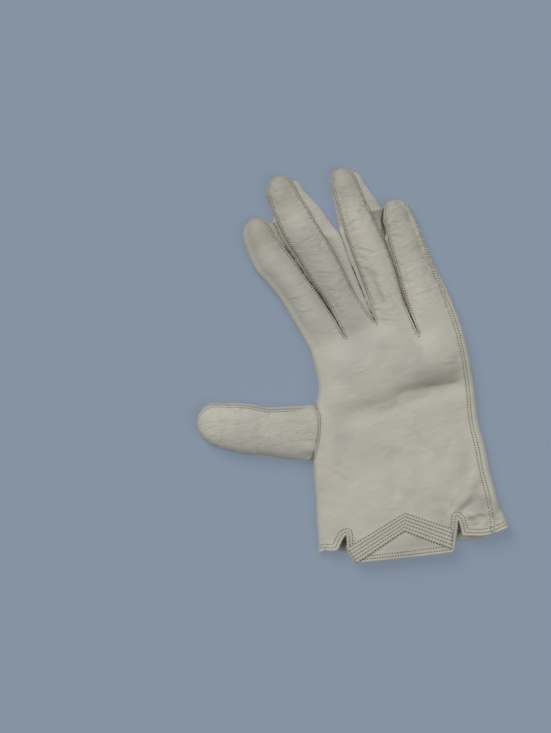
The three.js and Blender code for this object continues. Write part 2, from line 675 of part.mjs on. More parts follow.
// A point near the rim, moved by cells away from the hole and sunk below the trank's face.
function rimPoint(stop, cells, depth) {
  const { firstRow, lastRow, palmColumns } = THUMB_HOLE;
  const nearColumn = LEFT_FOLD_START - palmColumns;
  const middleColumn = (nearColumn + RING_COLUMNS) / 2;
  const middleRow = (firstRow + lastRow) / 2;
  const halfColumns = (RING_COLUMNS - nearColumn) / 2;
  const halfRows = (lastRow - firstRow) / 2;
  const column = middleColumn + (stop.column - middleColumn) * (1 + cells / halfColumns);
  const row = middleRow + (stop.row - middleRow) * (1 + cells / halfRows);
  const wrapped = (value) => ((value % RING_COLUMNS) + RING_COLUMNS) % RING_COLUMNS;
  const pointAt = (c, r) => handPoint(wrapped(c), r);
  const step = 0.05;
  const alongColumn = pointAt(column + step, row).sub(pointAt(column - step, row));
  const alongRow = pointAt(column, row + step).sub(pointAt(column, row - step));
  const outward = alongColumn.cross(alongRow).normalize();
  return pointAt(column, row).addScaledVector(outward, -depth);
}

// One section of the thumb, in step with the stops of the rim.
function thumbSection(stop, at) {
  const value = (key) => sample(THUMB_SECTIONS, 'at', key, at);
  const cap = clamp((at - THUMB_CAP) / (1 - THUMB_CAP), 0, 1);
  const shrink = Math.sqrt(Math.max(0, 1 - cap * cap));
  const lean = THREE.MathUtils.degToRad(THUMB.lean);
  const forward = new THREE.Vector2(-Math.sin(lean), Math.cos(lean));
  const across = new THREE.Vector2(forward.y, -forward.x);
  const half = value('halfWidth') * shrink;
  const fold = THUMB.fold * shrink;
  const { firstRow, lastRow, palmColumns } = THUMB_HOLE;
  const nearColumn = LEFT_FOLD_START - palmColumns;
  const rowShare = (stop.row - firstRow) / (lastRow - firstRow);
  const columnPart = (RING_COLUMNS - stop.column) / (RING_COLUMNS - nearColumn);
  const edge = lerp(FINGERTIP_HEIGHT, value('edge'), shrink);
  const crown = lerp(FINGERTIP_HEIGHT, value('crown'), shrink);
  const floor = lerp(FINGERTIP_HEIGHT, 0, shrink);
  let offset = 0;
  let height = 0;
  if (stop.part === 0 || stop.part === 2) {
    offset = lerp(-1, 1, rowShare) * (half - fold);
    height = stop.part === 0 ? edge + (crown - edge) * dome(rowShare, DOME_POWER) : floor;
  } else {
    const end = stop.part === 1 ? 1 : -1;
    offset = end * (half - fold + fold * Math.sin(Math.PI * columnPart));
    height = lerp(floor, edge, 0.5 * (1 + Math.cos(Math.PI * columnPart)));
  }
  const reach = THUMB.length * at;
  return new THREE.Vector3(
    THUMB.rootX + forward.x * reach + across.x * offset,
    THUMB.rootY + forward.y * reach + across.y * offset,
    height,
  );
}

function makeThumb() {
  const rim = holeRim();
  const capStations = [];
  for (let k = 1; k <= CAP_ROWS; k += 1) {
    capStations.push(lerp(THUMB_CAP, 1, Math.sin(Math.PI / 2 * k / CAP_ROWS)));
  }
  const stations = [...THUMB_STATIONS, ...capStations];
  const ringAt = (ring, stop) => {
    if (ring === 0) return rimPoint(stop, THUMB.tuckCells, TUCK);
    if (ring === 1) return rimPoint(stop, THUMB.emergeCells, TUCK);
    const at = stations[ring - 2];
    const blend = smoothstep(at / THUMB_BLEND);
    return rimPoint(stop, THUMB.clearCells, THUMB.clearDepth).lerp(thumbSection(stop, at), blend);
  };
  const stops = rim.length;
  const sheet = patch(stops, stations.length + 1, (c, r) => ringAt(r, rim[(stops - c) % stops]));
  return thicken([sheet], () => WALL);
}

// The back's face over the tab and just above it, by share of the tab's width and drop down it.
function tabFace(share, drop) {
  if (drop >= 0) return tabPoint(share, drop);
  const column = lerp(NOTCH_COLUMNS.left, NOTCH_COLUMNS.right, share);
  const tabLength = handBack(column, 0).y - tabPoint(share, 1).y;
  const handLength = handPlan(column, HAND_SECTIONS[1].at).y - handPlan(column, 0).y;
  return handBack(column, -drop * HAND_SECTIONS[1].at * tabLength / handLength);
}

// The point of that face at a plan position, found by stepping towards it.
function faceAt(x, y) {
  const step = 0.01;
  let share = 0.5;
  let drop = 0.5;
  for (let pass = 0; pass < 12; pass += 1) {
    const here = tabFace(share, drop);
    const across = tabFace(share + step, drop).sub(here).divideScalar(step);
    const down = tabFace(share, drop + step).sub(here).divideScalar(step);
    const determinant = across.x * down.y - down.x * across.y;
    share += ((x - here.x) * down.y - (y - here.y) * down.x) / determinant;
    drop += ((y - here.y) * across.x - (x - here.x) * across.y) / determinant;
  }
  return tabFace(share, drop);
}

function chevronCorner(corner, depth) {
  const { upper, lower } = CHEVRON;
  return {
    x: lerp(upper[`${corner}X`], lower[`${corner}X`], depth),
    y: lerp(upper[`${corner}Y`], lower[`${corner}Y`], depth),
  };
}

function makeChevronBand() {
  const acrossSteps = CHEVRON.cords * 2;
  const alongSteps = CHEVRON.stepsPerArm * 2;
  const sheet = patch(alongSteps, acrossSteps, (c, r) => {
    const depth = r / acrossSteps;
    const stops = [
      { at: 0, ...chevronCorner('left', depth) },
      { at: CHEVRON.stepsPerArm, ...chevronCorner('apex', depth) },
      { at: alongSteps, ...chevronCorner('right', depth) },
    ];
    const point = faceAt(read(stops, 'at', 'x', c), read(stops, 'at', 'y', c));
    point.z += CHEVRON.lift + CHEVRON.base + (r % 2 === 1 ? CHEVRON.cordHeight : 0);
    return point;
  });
  return thicken([sheet], () => CHEVRON.base);
}

function leather(colour, roughness) {
  return new THREE.MeshStandardMaterial({ color: colour, roughness, metalness: 0 });
}

function addPiece(group, name, geometry, colour, roughness) {
  const mesh = new THREE.Mesh(geometry, leather(colour, roughness));
  mesh.name = name;
  group.add(mesh);
}

const glove = new THREE.Group();
addPiece(glove, 'trank', makeTrank(), COLOURS.leather, 0.45);
addPiece(glove, 'thumb', makeThumb(), COLOURS.leather, 0.45);
for (let left = 0; left < FINGER_COUNT - 1; left += 1) {
  const name = `fourchette_${FINGERS[left].name}_${FINGERS[left + 1].name}`;
  addPiece(glove, name, makeFourchette(left), COLOURS.fourchette, 0.5);
}
addPiece(glove, 'chevron_band', makeChevronBand(), COLOURS.cording, 0.55);

export default glove;
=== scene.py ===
"""A wrist-length dress glove of smooth kid leather, lying on its palm.

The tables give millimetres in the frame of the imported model: +Y points to the fingertips, +X to
the little finger and +Z up through the back of the hand. The meshes are written in metres.
"""

import logging
import math
from dataclasses import dataclass, field
from enum import Enum, IntEnum
from typing import Callable, Iterable, NamedTuple, Sequence

import bmesh
import bpy
import numpy as np
from mathutils import Matrix, Vector, kdtree, noise
from mathutils.bvhtree import BVHTree


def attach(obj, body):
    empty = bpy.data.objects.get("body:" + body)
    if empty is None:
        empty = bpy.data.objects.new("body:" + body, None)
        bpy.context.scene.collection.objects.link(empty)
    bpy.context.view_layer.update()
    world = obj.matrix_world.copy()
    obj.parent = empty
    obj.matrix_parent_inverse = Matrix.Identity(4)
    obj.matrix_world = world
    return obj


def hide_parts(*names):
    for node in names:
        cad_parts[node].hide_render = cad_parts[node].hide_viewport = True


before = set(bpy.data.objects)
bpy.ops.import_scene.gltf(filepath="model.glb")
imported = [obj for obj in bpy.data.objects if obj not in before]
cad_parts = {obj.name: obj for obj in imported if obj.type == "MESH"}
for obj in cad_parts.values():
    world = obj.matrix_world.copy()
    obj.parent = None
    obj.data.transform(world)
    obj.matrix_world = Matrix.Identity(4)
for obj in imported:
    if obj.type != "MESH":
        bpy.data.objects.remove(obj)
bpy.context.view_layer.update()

LOG = logging.getLogger("glove")
Array = np.ndarray
# One value or many.
Amount = float | Array
Pair = tuple[float, float]
Triple = tuple[float, float, float]
# Points of a line, each with the leather's normal there.
Chain = list[tuple[Vector, Vector]]
Sheet = bmesh.types.BMesh
Edges = list[bmesh.types.BMEdge]
Material = bpy.types.Material
Tree = bpy.types.NodeTree
Socket = bpy.types.NodeSocket

MM = 0.001
BODY = "root"
SEED = 7
# Fields on the leather that its material reads: painted shade, cool tint, fine creasing.
SURFACE_LAYERS = ("shade", "grey", "crinkle")

# The ring of the hand in units of the pattern: back, right fold, palm from right to left, left
# fold.
STRIP_UNITS = 5
FINGER_COUNT = 4
BACK_UNITS = STRIP_UNITS * FINGER_COUNT
FOLD_UNITS = 4
PALM_START = BACK_UNITS + FOLD_UNITS
LEFT_FOLD_START = PALM_START + BACK_UNITS
RING_UNITS = LEFT_FOLD_START + FOLD_UNITS
HAND_UNITS = 20

# Cells of the meshes. The hide is closed from the cap row CLOSED_CAP_ROW to a fingertip, and its
# flaps close the fourchette's opening over FLAP_ROWS below that.
STRIP_CELLS = 24
PALM_STRIP_CELLS = 8
FOLD_CELLS = 10
HAND_ROWS = 110
CUFF_ROWS = 18
TAB_ROWS = 26
FINGER_ROWS = 150
CAP_ROWS = 14
CLOSED_CAP_ROW = 4
FLAP_CELLS = 5
FLAP_ROWS = 14
HEM_STEPS = 5

FOLD_DEPTH = 3.2
FINGERTIP_HEIGHT = 4.6
LEATHER = 0.8
# Heights that tell the parts of the hide apart: the flat palm, the fold that shows, the back.
PALM_TOP = 0.02
FOLD_TOP = 1.0
BACK_LOW = 4.0
# A height above every piece, from which places are found straight down.
OVERHEAD = 40.0


class Region(IntEnum):
    """The part of the hide that a face belongs to."""

    TURNED = 0
    BACK = 1
    FOLD = 2
    PALM = 3
    SIDE = 4


class Side(Enum):
    """A finger's side, with the way that it faces along X."""

    LEFT = -1
    RIGHT = 1


class HandSection(NamedTuple):
    """One section of the hand: ends of its outline, height of the back, heights at the edges."""

    at: float
    x1: float
    y1: float
    x2: float
    y2: float
    crown: float
    edge1: float
    edge2: float


class FingerSection(NamedTuple):
    """One section of a finger: edges of its back strip and its palm strip, and its heights."""

    y: float
    seam1: float
    seam2: float
    out1: float
    out2: float
    edge: float
    crown: float


class Fold(NamedTuple):
    """A long soft ridge or hollow of the back between two points."""

    x1: float
    y1: float
    x2: float
    y2: float
    rise: float
    width: float


class Crease(NamedTuple):
    """A sharper line in the leather between two points. A depth below zero makes a ridge."""

    x1: float
    y1: float
    x2: float
    y2: float
    depth: float
    width: float


class HemStop(NamedTuple):
    """A point of the hem at a column of the pattern."""

    column: float
    x: float
    y: float


class ThumbSection(NamedTuple):
    """One section of the thumb."""

    at: float
    half_width: float
    edge: float
    crown: float


class Gap(NamedTuple):
    """How a fourchette fills the gap between two fingers.

    Its walls touch at a share of the way from the left seam to the right one and at a share of
    their own depth. It is darkened by painted shade, its painted dusk, and open above a y.
    """

    meeting_share: float
    meeting_depth: float
    painted_dusk: float
    closed_y: float


class Swell(NamedTuple):
    """Soft uneven swells: height, rough width, where the noise starts, stretch by axis."""

    height: float
    size: float
    seed: float
    stretch: Triple = (1.0, 1.0, 1.0)


class Ridge(NamedTuple):
    """A ridge or groove along a line: height, distance from it, width, and the painted shade it takes.
    """

    height: float
    off: float
    width: float
    painted_shade: float = 0.0


class Wrinkles(NamedTuple):
    """Fine creases in patches: depth, rough length along X, distance along Y, start of the noise.

    The last two say how much of them the hand takes, and the fingers.
    """

    depth: float
    across: float
    along: float
    seed: float
    on_hand: float = 1.0
    on_fingers: float = 1.0


class StrayCreases(NamedTuple):
    """Short creases drawn at random: how many, and the ranges of half length, depth and width."""

    count: int
    half: Pair
    depth: Pair
    width: Pair


def table(kind: type, *rows: Sequence[float]) -> tuple:
    """Makes rows of a kind from plain numbers."""
    return tuple(kind(*row) for row in rows)


# Where two fingers part: x and y.
CROTCHES = ((-12.2, 59.3), (6.5, 61.7), (27.0, 47.5))

GAPS = (Gap(0.10, 0.05, 0.30, 130.7), Gap(0.68, 0.08, 0.0, 112.0), Gap(0.12, 0.04, 0.18, 121.5))

HAND_SECTIONS = table(
    HandSection,
    (0, -63.2, -42.6, 38.2, -60, 10.2, 5.8, 9.2), (0.11, -60.4, -32.5, 39.5, -43.5, 10.6, 6.2, 8.6),
    (0.22, -57.3, -21.5, 41.2, -26.5, 10.8, 7.2, 8), (0.34, -54.2, -9.5, 41.8, -12, 11.4, 9.3, 7.6),
    (0.45, -50.6, 3.5, 43.4, -1.5, 12, 10.5, 7.6), (0.56, -46.2, 15.5, 46.4, 11, 12.9, 10.9, 8),
    (0.67, -40.9, 26.5, 48, 22.5, 15.8, 10.7, 8.9), (0.78, -35.8, 36.5, 48.8, 33, 17.2, 9.4, 9.2),
    (0.89, -33.8, 47, 49.2, 42, 16.4, 8.8, 9), (1, -33, 57.6, 49.4, 50, 14.6, 8.4, 8.6),
)

# Columns of the pattern at the cuff and at the fingers' roots, and their shares of the back's
# width. The two inner ones of the cuff are the notches.
CUFF_COLUMNS = ((0.0, 3.0, 16.0, 20.0), (0.0, 0.133, 0.786, 1.0))
ROOT_COLUMNS = ((0.0, 5.0, 10.0, 15.0, 20.0), (0.0, 0.233, 0.478, 0.746, 1.0))

# The main folds and hollows of the back, which the model has too.
FOLDS = table(
    Fold,
    (-24, 17, 46, 13, -1.6, 6.5), (-30, -12, -4, -16, -0.9, 9), (-4, -8, -9, -30, 0.9, 4.5),
    (10, -20, 8, -40, 0.9, 4.5), (18, -46, 34, -38, 1.5, 3.2), (22, -53, 33, -49, -1.3, 3.4),
)

# Soft forms of the back that are too shallow for the model's coarse faces.
SOFT_FOLDS = table(
    Fold,
    (14, 31, 44, 26, 0.9, 5), (2, 20, 43, 13.6, -1.2, 3.4), (8, 10, 43, 5, 0.5, 4.5),
    (-6, -8, -14.5, -37, -0.95, 3.4), (1.5, -8, -6, -37, 0.7, 3.8), (31.5, -24, 21, -47, -0.75, 3),
    (17, -26, 10, -46, 0.4, 4.4), (9, -14, 3, -34, -0.45, 3.2), (26, -52, 36, -57, -1, 3.4),
    (-40, -6, -34, -22, -0.45, 3.4), (-24, 40, -18, 26, -0.4, 4.5), (8, 48, 2, 30, -0.4, 5),
    (28, 40, 22, 28, -0.35, 4.5), (11, 92, 15, 68, -0.35, 2.6),
)

# Cooler and greyer patches of the leather, with their strength as the rise.
GREY_SPOTS = table(
    Fold,
    (-17, 112, -4, 66, 0.72, 12), (-37, 108, -22, 70, 0.4, 8), (12, 90, 14, 66, 0.22, 7),
    (4, -54, 10, -60, 0.3, 6), (26, -52, 34, -58, 0.7, 5), (-22, -63, 5, -64, 0.6, 7),
    (-16, 40, -8, 52, 0.35, 9),
)

# Places painted darker: painted shade on the fingertips and in the hollow across the back, and darker
# patches about the cuff.
DARKENED_SPOTS = table(
    Fold,
    (-40.5, 136, -38, 128, 0.38, 10), (-18, 154, -19.5, 146, 0.36, 9),
    (15.5, 147, 16, 139, 0.32, 9), (36.5, 120, 38, 98, 0.17, 9), (42, 92, 45, 66, 0.06, 7),
    (22, 20.5, 41, 20, 0.24, 6.5), (-4, 17, 20, 21, 0.1, 8), (-51, -44, -47, -50, 0.18, 4.5),
    (-47, -54, -44, -60, 0.16, 4), (-8, -60, 4, -66, 0.16, 5), (14, -60, 20, -63, 0.18, 4.5),
    (31, -54, 36, -57, 0.16, 4.5),
)

# Creases that show on the back: by the left notch and the right one, on the fingers, then on the
# hand from the knuckles down to the cuff.
CREASES = table(
    Crease,
    (0.5, -49, 8, -54, 0.34, 1.1), (6, -46.5, 9.5, -56, 0.3, 1), (-3, -49, 3, -53.5, 0.24, 0.9),
    (9.5, -45.5, 13, -55, -0.3, 1.1), (18, -54.9, 24.5, -65.2, 0.42, 1),
    (19.7, -52.9, 28.5, -59.5, 0.42, 1.6), (20.5, -50.5, 29, -55.5, -0.45, 1.8),
    (32.6, -62, 37.7, -66.3, 0.42, 0.9), (32.3, -65.9, 36.7, -70.4, 0.36, 0.8),
    (-18.9, 125.6, -10.5, 122.7, 0.16, 0.8), (-21.5, 114.6, -16.8, 113, 0.16, 0.7),
    (-19.1, 106.1, -9.1, 102.6, 0.18, 0.8), (-16.9, 98.8, -3.5, 93, 0.36, 0.9),
    (-16.4, 96.4, -5.1, 91.3, 0.26, 0.8), (-14.2, 87.8, -1, 81.5, 0.3, 0.9),
    (9, 105.3, 20.4, 97.2, 0.28, 0.9), (9.1, 98.7, 13.7, 94.8, 0.22, 0.8),
    (8.5, 93.6, 12.9, 90.9, 0.22, 0.8), (14.7, 85.6, 20.3, 83, 0.22, 0.8),
    (11.7, 92.5, 15.4, 67, 0.6, 2), (16.5, 78, 17.6, 63, -0.5, 1.7),
    (6.6, 62.3, 20.9, 57.3, 0.2, 0.9), (30.3, 105.1, 36.6, 101.1, 0.2, 0.8),
    (26.4, 90.4, 32.4, 85.4, 0.2, 0.8), (26.1, 81, 32.6, 75.8, 0.2, 0.8),
    (42.2, 81.4, 40.3, 64, 0.34, 1.6), (37, 72, 36, 57, -0.28, 2.2),
    (43.7, 70.2, 44.3, 58.5, 0.22, 1.2), (-37.1, 112.3, -31.2, 105.5, 0.16, 0.8),
    (-29.3, 95.4, -23, 95, 0.16, 0.7), (-38.6, 89.1, -19.5, 87.9, 0.1, 0.8),
    (-36.3, 85.4, -28.5, 77.3, 0.08, 0.8), (-38, 80.6, -27.5, 80, 0.1, 0.7),
    (-10, 12.6, 5.8, 13.6, 0.24, 1.8), (5.8, 13.6, 23.5, 13.4, 0.3, 1.7),
    (19, 18.4, 43, 13.4, 0.45, 1), (31, 27.6, 44.5, 24.2, 0.4, 0.8),
    (36, 30.2, 45, 27.4, 0.24, 0.7), (16.7, -15, 35.4, -19.2, -0.24, 0.55),
    (24, -13.3, 36.5, -17.1, -0.2, 0.5), (-44.5, -7.2, -35.3, -19.8, 0.26, 1.1),
    (-0.1, -14.2, 5.7, -16.2, 0.16, 0.7), (10.1, -32.5, 15.4, -34.3, 0.16, 0.7),
    (18.6, -20, 27.3, -11.8, 0.18, 0.9), (-54.5, -15.6, -51.4, -20.2, 0.2, 0.9),
    (32.9, -24.9, 24, -45.2, 0.34, 2.4), (2.9, -50.9, 6.7, -58.7, 0.3, 0.9),
    (6.2, -50, 9.4, -57.5, 0.26, 0.8), (-1, -47.5, 8.5, -52.5, 0.22, 0.9),
    (31.5, -62, 18, -59.4, 0.8, 1.3), (31, -60, 17.5, -55.6, -0.55, 1.3),
    (31.5, -62, 20.5, -64.4, 0.6, 1.2), (31.5, -62, 27, -69.5, 0.6, 1.1),
    (31.5, -62, 36.5, -67.5, 0.6, 1.1), (31.5, -62, 38.5, -62.5, 0.5, 1.1),
    (31.5, -62, 30, -51, 0.4, 1.2), (13.6, -51, 27, -46.6, -0.6, 1.6),
    (14.5, -54.5, 27.5, -50.2, 0.8, 1.2), (11, -50.5, 17, -47.5, 0.36, 0.9),
)

THUMB_SECTIONS = table(
    ThumbSection,
    (0, 17, 8.8, 10.8), (0.2, 15.4, 8, 12.4), (0.45, 14.2, 7.4, 12.8), (0.7, 13.2, 7.2, 12.2),
    (0.82, 12.4, 7, 11.6),
)


def lerp(start: Amount, end: Amount, share: Amount) -> Amount:
    """Goes from start to end by a share."""
    return start + (end - start) * share


def smoothstep(value: Amount) -> Amount:
    """Rises softly from 0 to 1 as the value does."""
    t = np.clip(value, 0.0, 1.0)
    return t * t * (3.0 - 2.0 * t)


def dome(share: Array, power: float) -> Array:
    """Height of a round top at a share of its width, from 0 at the edges to 1."""
    return 1.0 - np.abs(2.0 * share - 1.0) ** power


def bump(distance: Array, middle: float, width: float) -> Array:
    """A soft bump of height 1 at a distance from a line."""
    return np.exp(-(((distance - middle) / width) ** 2))


def points_of(x: Array, y: Array, z: Array) -> Array:
    """Points from three rows of coordinates."""
    return np.stack(np.broadcast_arrays(x, y, z), axis=-1)


def profile(rows: Sequence[NamedTuple], key: str, column: str, at: Array) -> Array:
    """Reads a smooth curve through one column of a table.

    Args:
        rows: The table.
        key: Name of a column that rises.
        column: Name of the column to read.
        at: Where to read it, in the units of key.

    Returns:
        The values there.
    """
    stations = np.array([getattr(row, key) for row in rows], float)
    values = np.array([getattr(row, column) for row in rows], float)
    last = len(rows) - 1
    before = np.maximum(np.arange(last + 1) - 1, 0)
    after = np.minimum(np.arange(last + 1) + 1, last)
    slopes = (values[after] - values[before]) / (stations[after] - stations[before])
    at = np.clip(at, stations[0], stations[-1])
    i = np.clip(np.searchsorted(stations, at, side="right") - 1, 0, last - 1)
    span = stations[i + 1] - stations[i]
    t = (at - stations[i]) / span
    start = 2 * t**3 - 3 * t**2 + 1
    bend = (t**3 - 2 * t**2 + t) * span * slopes[i] + (t**3 - t**2) * span * slopes[i + 1]
    return start * values[i] + (1 - start) * values[i + 1] + bend


def soft_noise(
    points: Array, size: float, seed: float, stretch: Sequence[float] = (1.0, 1.0, 1.0)
) -> Array:
    """Smooth noise from about -1 to 1, with bumps of about a size, finer along stretched axes."""
    scaled = points / size * np.array(stretch) + seed
    return np.array([noise.noise(Vector(p)) for p in scaled])


def strip_stops(count: int, crowding: float = 0.45) -> Array:
    """Shares across a strip, closer together by its two seams."""
    t = np.linspace(0.0, 1.0, count + 1)
    return t - crowding * np.sin(2.0 * np.pi * t) / (2.0 * np.pi)


def swell_of(points: Array, swells: Iterable[Swell]) -> Array:
    """Height that soft uneven swells add at each point."""
    return sum(s.height * soft_noise(points, s.size, s.seed, s.stretch) for s in swells)


def round_fold(edge: Array, facing: float, share: Array) -> Array:
    """Half an ellipse from the edge of the back down to the palm, out to the way it faces."""
    angle = np.pi * share
    x = edge[..., 0] + facing * FOLD_DEPTH * np.sin(angle)
    z = edge[..., 2] * 0.5 * (1.0 + np.cos(angle))
    return points_of(x, edge[..., 1], z)


def folds_at(x: Array, y: Array, folds: Iterable[Fold]) -> Array:
    """What the rows of a table add together at places in plan."""
    rise = np.zeros_like(x)
    for fold in folds:
        rise += fold.rise * bump(segment_distance(x, y, fold)[0], 0.0, fold.width)
    return rise


def segment_distance(x: Array, y: Array, line: NamedTuple) -> tuple[Array, Array, Array]:
    """Distance in plan to a line of a table.

    Args:
        x: Places in plan.
        y: Places in plan.
        line: A row with x1, y1, x2 and y2.

    Returns:
        The distance, the share along the line and the signed distance to its left.
    """
    along_x = line.x2 - line.x1
    along_y = line.y2 - line.y1
    length = math.hypot(along_x, along_y)
    share = np.clip(((x - line.x1) * along_x + (y - line.y1) * along_y) / length**2, 0.0, 1.0)
    off_x = x - line.x1 - share * along_x
    off_y = y - line.y1 - share * along_y
    left = (off_y * along_x - off_x * along_y) / length
    return np.hypot(off_x, off_y), share, left


@dataclass(frozen=True)
class HandForm:
    """The hand from the tops of the cuff notches to the crotches, as one closed ring.

    Its points are read by a column of the pattern, 0 at the forefinger's side, and by at, a share
    of the hand's length.
    """

    dome_power: float = 2.8
    fold_fade: float = 3.0
    # The share of the hand's length from which its columns lean to the crotches.
    crotch_pull_start: float = 0.6
    crotch_dip: float = 2.2
    crotch_reach: float = 7.5

    def column_share(self, column: Array, at: Array) -> Array:
        """Share of the back's width at a column."""
        return lerp(np.interp(column, *CUFF_COLUMNS), np.interp(column, *ROOT_COLUMNS), at)

    def crotch_row(self, column: Array) -> tuple[Array, Array]:
        """Plan position of a column on the row of crotches."""
        index = np.clip(np.floor(column / STRIP_UNITS), 0, FINGER_COUNT - 1).astype(int)
        share = column / STRIP_UNITS - index
        roots = [
            (f.sections[0].seam1, f.sections[0].seam2, f.left_root_y, f.right_root_y) for f in FINGERS
        ]
        seam1, seam2, left, right = np.moveaxis(np.array(roots)[index], -1, 0)
        return lerp(seam1, seam2, share), lerp(left, right, share)

    def plan(self, column: Array, at: Array) -> tuple[Array, Array, Array]:
        """Plan position of the back: x, y and the share of the back's width."""
        share = self.column_share(column, at)
        x1, y1, x2, y2 = (profile(HAND_SECTIONS, "at", key, at) for key in ("x1", "y1", "x2", "y2"))
        x = lerp(x1 + FOLD_DEPTH, x2 - FOLD_DEPTH, share)
        y = lerp(y1, y2, share)
        top = HAND_SECTIONS[-1]
        top_share = self.column_share(column, 1.0)
        crotch_x, crotch_y = self.crotch_row(column)
        pull = smoothstep((at - self.crotch_pull_start) / (1.0 - self.crotch_pull_start))
        x = x + pull * (crotch_x - lerp(top.x1 + FOLD_DEPTH, top.x2 - FOLD_DEPTH, top_share))
        y = y + pull * (crotch_y - lerp(top.y1, top.y2, top_share))
        return x, y, share

    def height(self, column: Array, at: Array) -> Array:
        """Height of the back, with its main folds and the dips at the crotches."""
        x, y, share = self.plan(column, at)
        keys = ("edge1", "edge2", "crown")
        edge1, edge2, crown = (profile(HAND_SECTIONS, "at", key, at) for key in keys)
        edge = lerp(edge1, edge2, share)
        round_top = dome(share, self.dome_power)
        soft = np.minimum(1.0, self.fold_fade * round_top)
        height = edge + (crown - edge) * round_top + soft * folds_at(x, y, FOLDS)
        for crotch_x, crotch_y in CROTCHES:
            away = np.hypot(x - crotch_x, y - crotch_y)
            height -= self.crotch_dip * bump(away, 0.0, self.crotch_reach)
        return height

    def back(self, column: Array, at: Array) -> Array:
        """Points of the back."""
        x, y, _ = self.plan(column, at)
        return points_of(x, y, self.height(column, at))

    def ring(
        self, ring_column: Array, at: Array, back: Callable[[Array, Array], Array] | None = None
    ) -> Array:
        """Points of the whole ring.

        Args:
            ring_column: Column of the ring, which may run past its end and round again.
            at: Share of the hand's length, or whatever back reads.
            back: Gives the points of the back, if they aren't the hand's own.

        Returns:
            The points.
        """
        c = np.mod(ring_column, RING_UNITS)
        on_right = (c > BACK_UNITS) & (c < PALM_START)
        on_palm = (c >= PALM_START) & (c <= LEFT_FOLD_START)
        on_left = c > LEFT_FOLD_START
        column = np.where(c <= BACK_UNITS, c, BACK_UNITS * 1.0)
        column = np.where(on_palm, LEFT_FOLD_START - c, column)
        column = np.where(on_left, 0.0, column)
        points = (back or self.back)(column, at)
        points[..., 2] = np.where(on_palm, 0.0, points[..., 2])
        right = round_fold(points, 1.0, (c - BACK_UNITS) / FOLD_UNITS)
        left = round_fold(points, -1.0, (RING_UNITS - c) / FOLD_UNITS)
        points = np.where(on_right[..., None], right, points)
        return np.where(on_left[..., None], left, points)


HAND = HandForm()


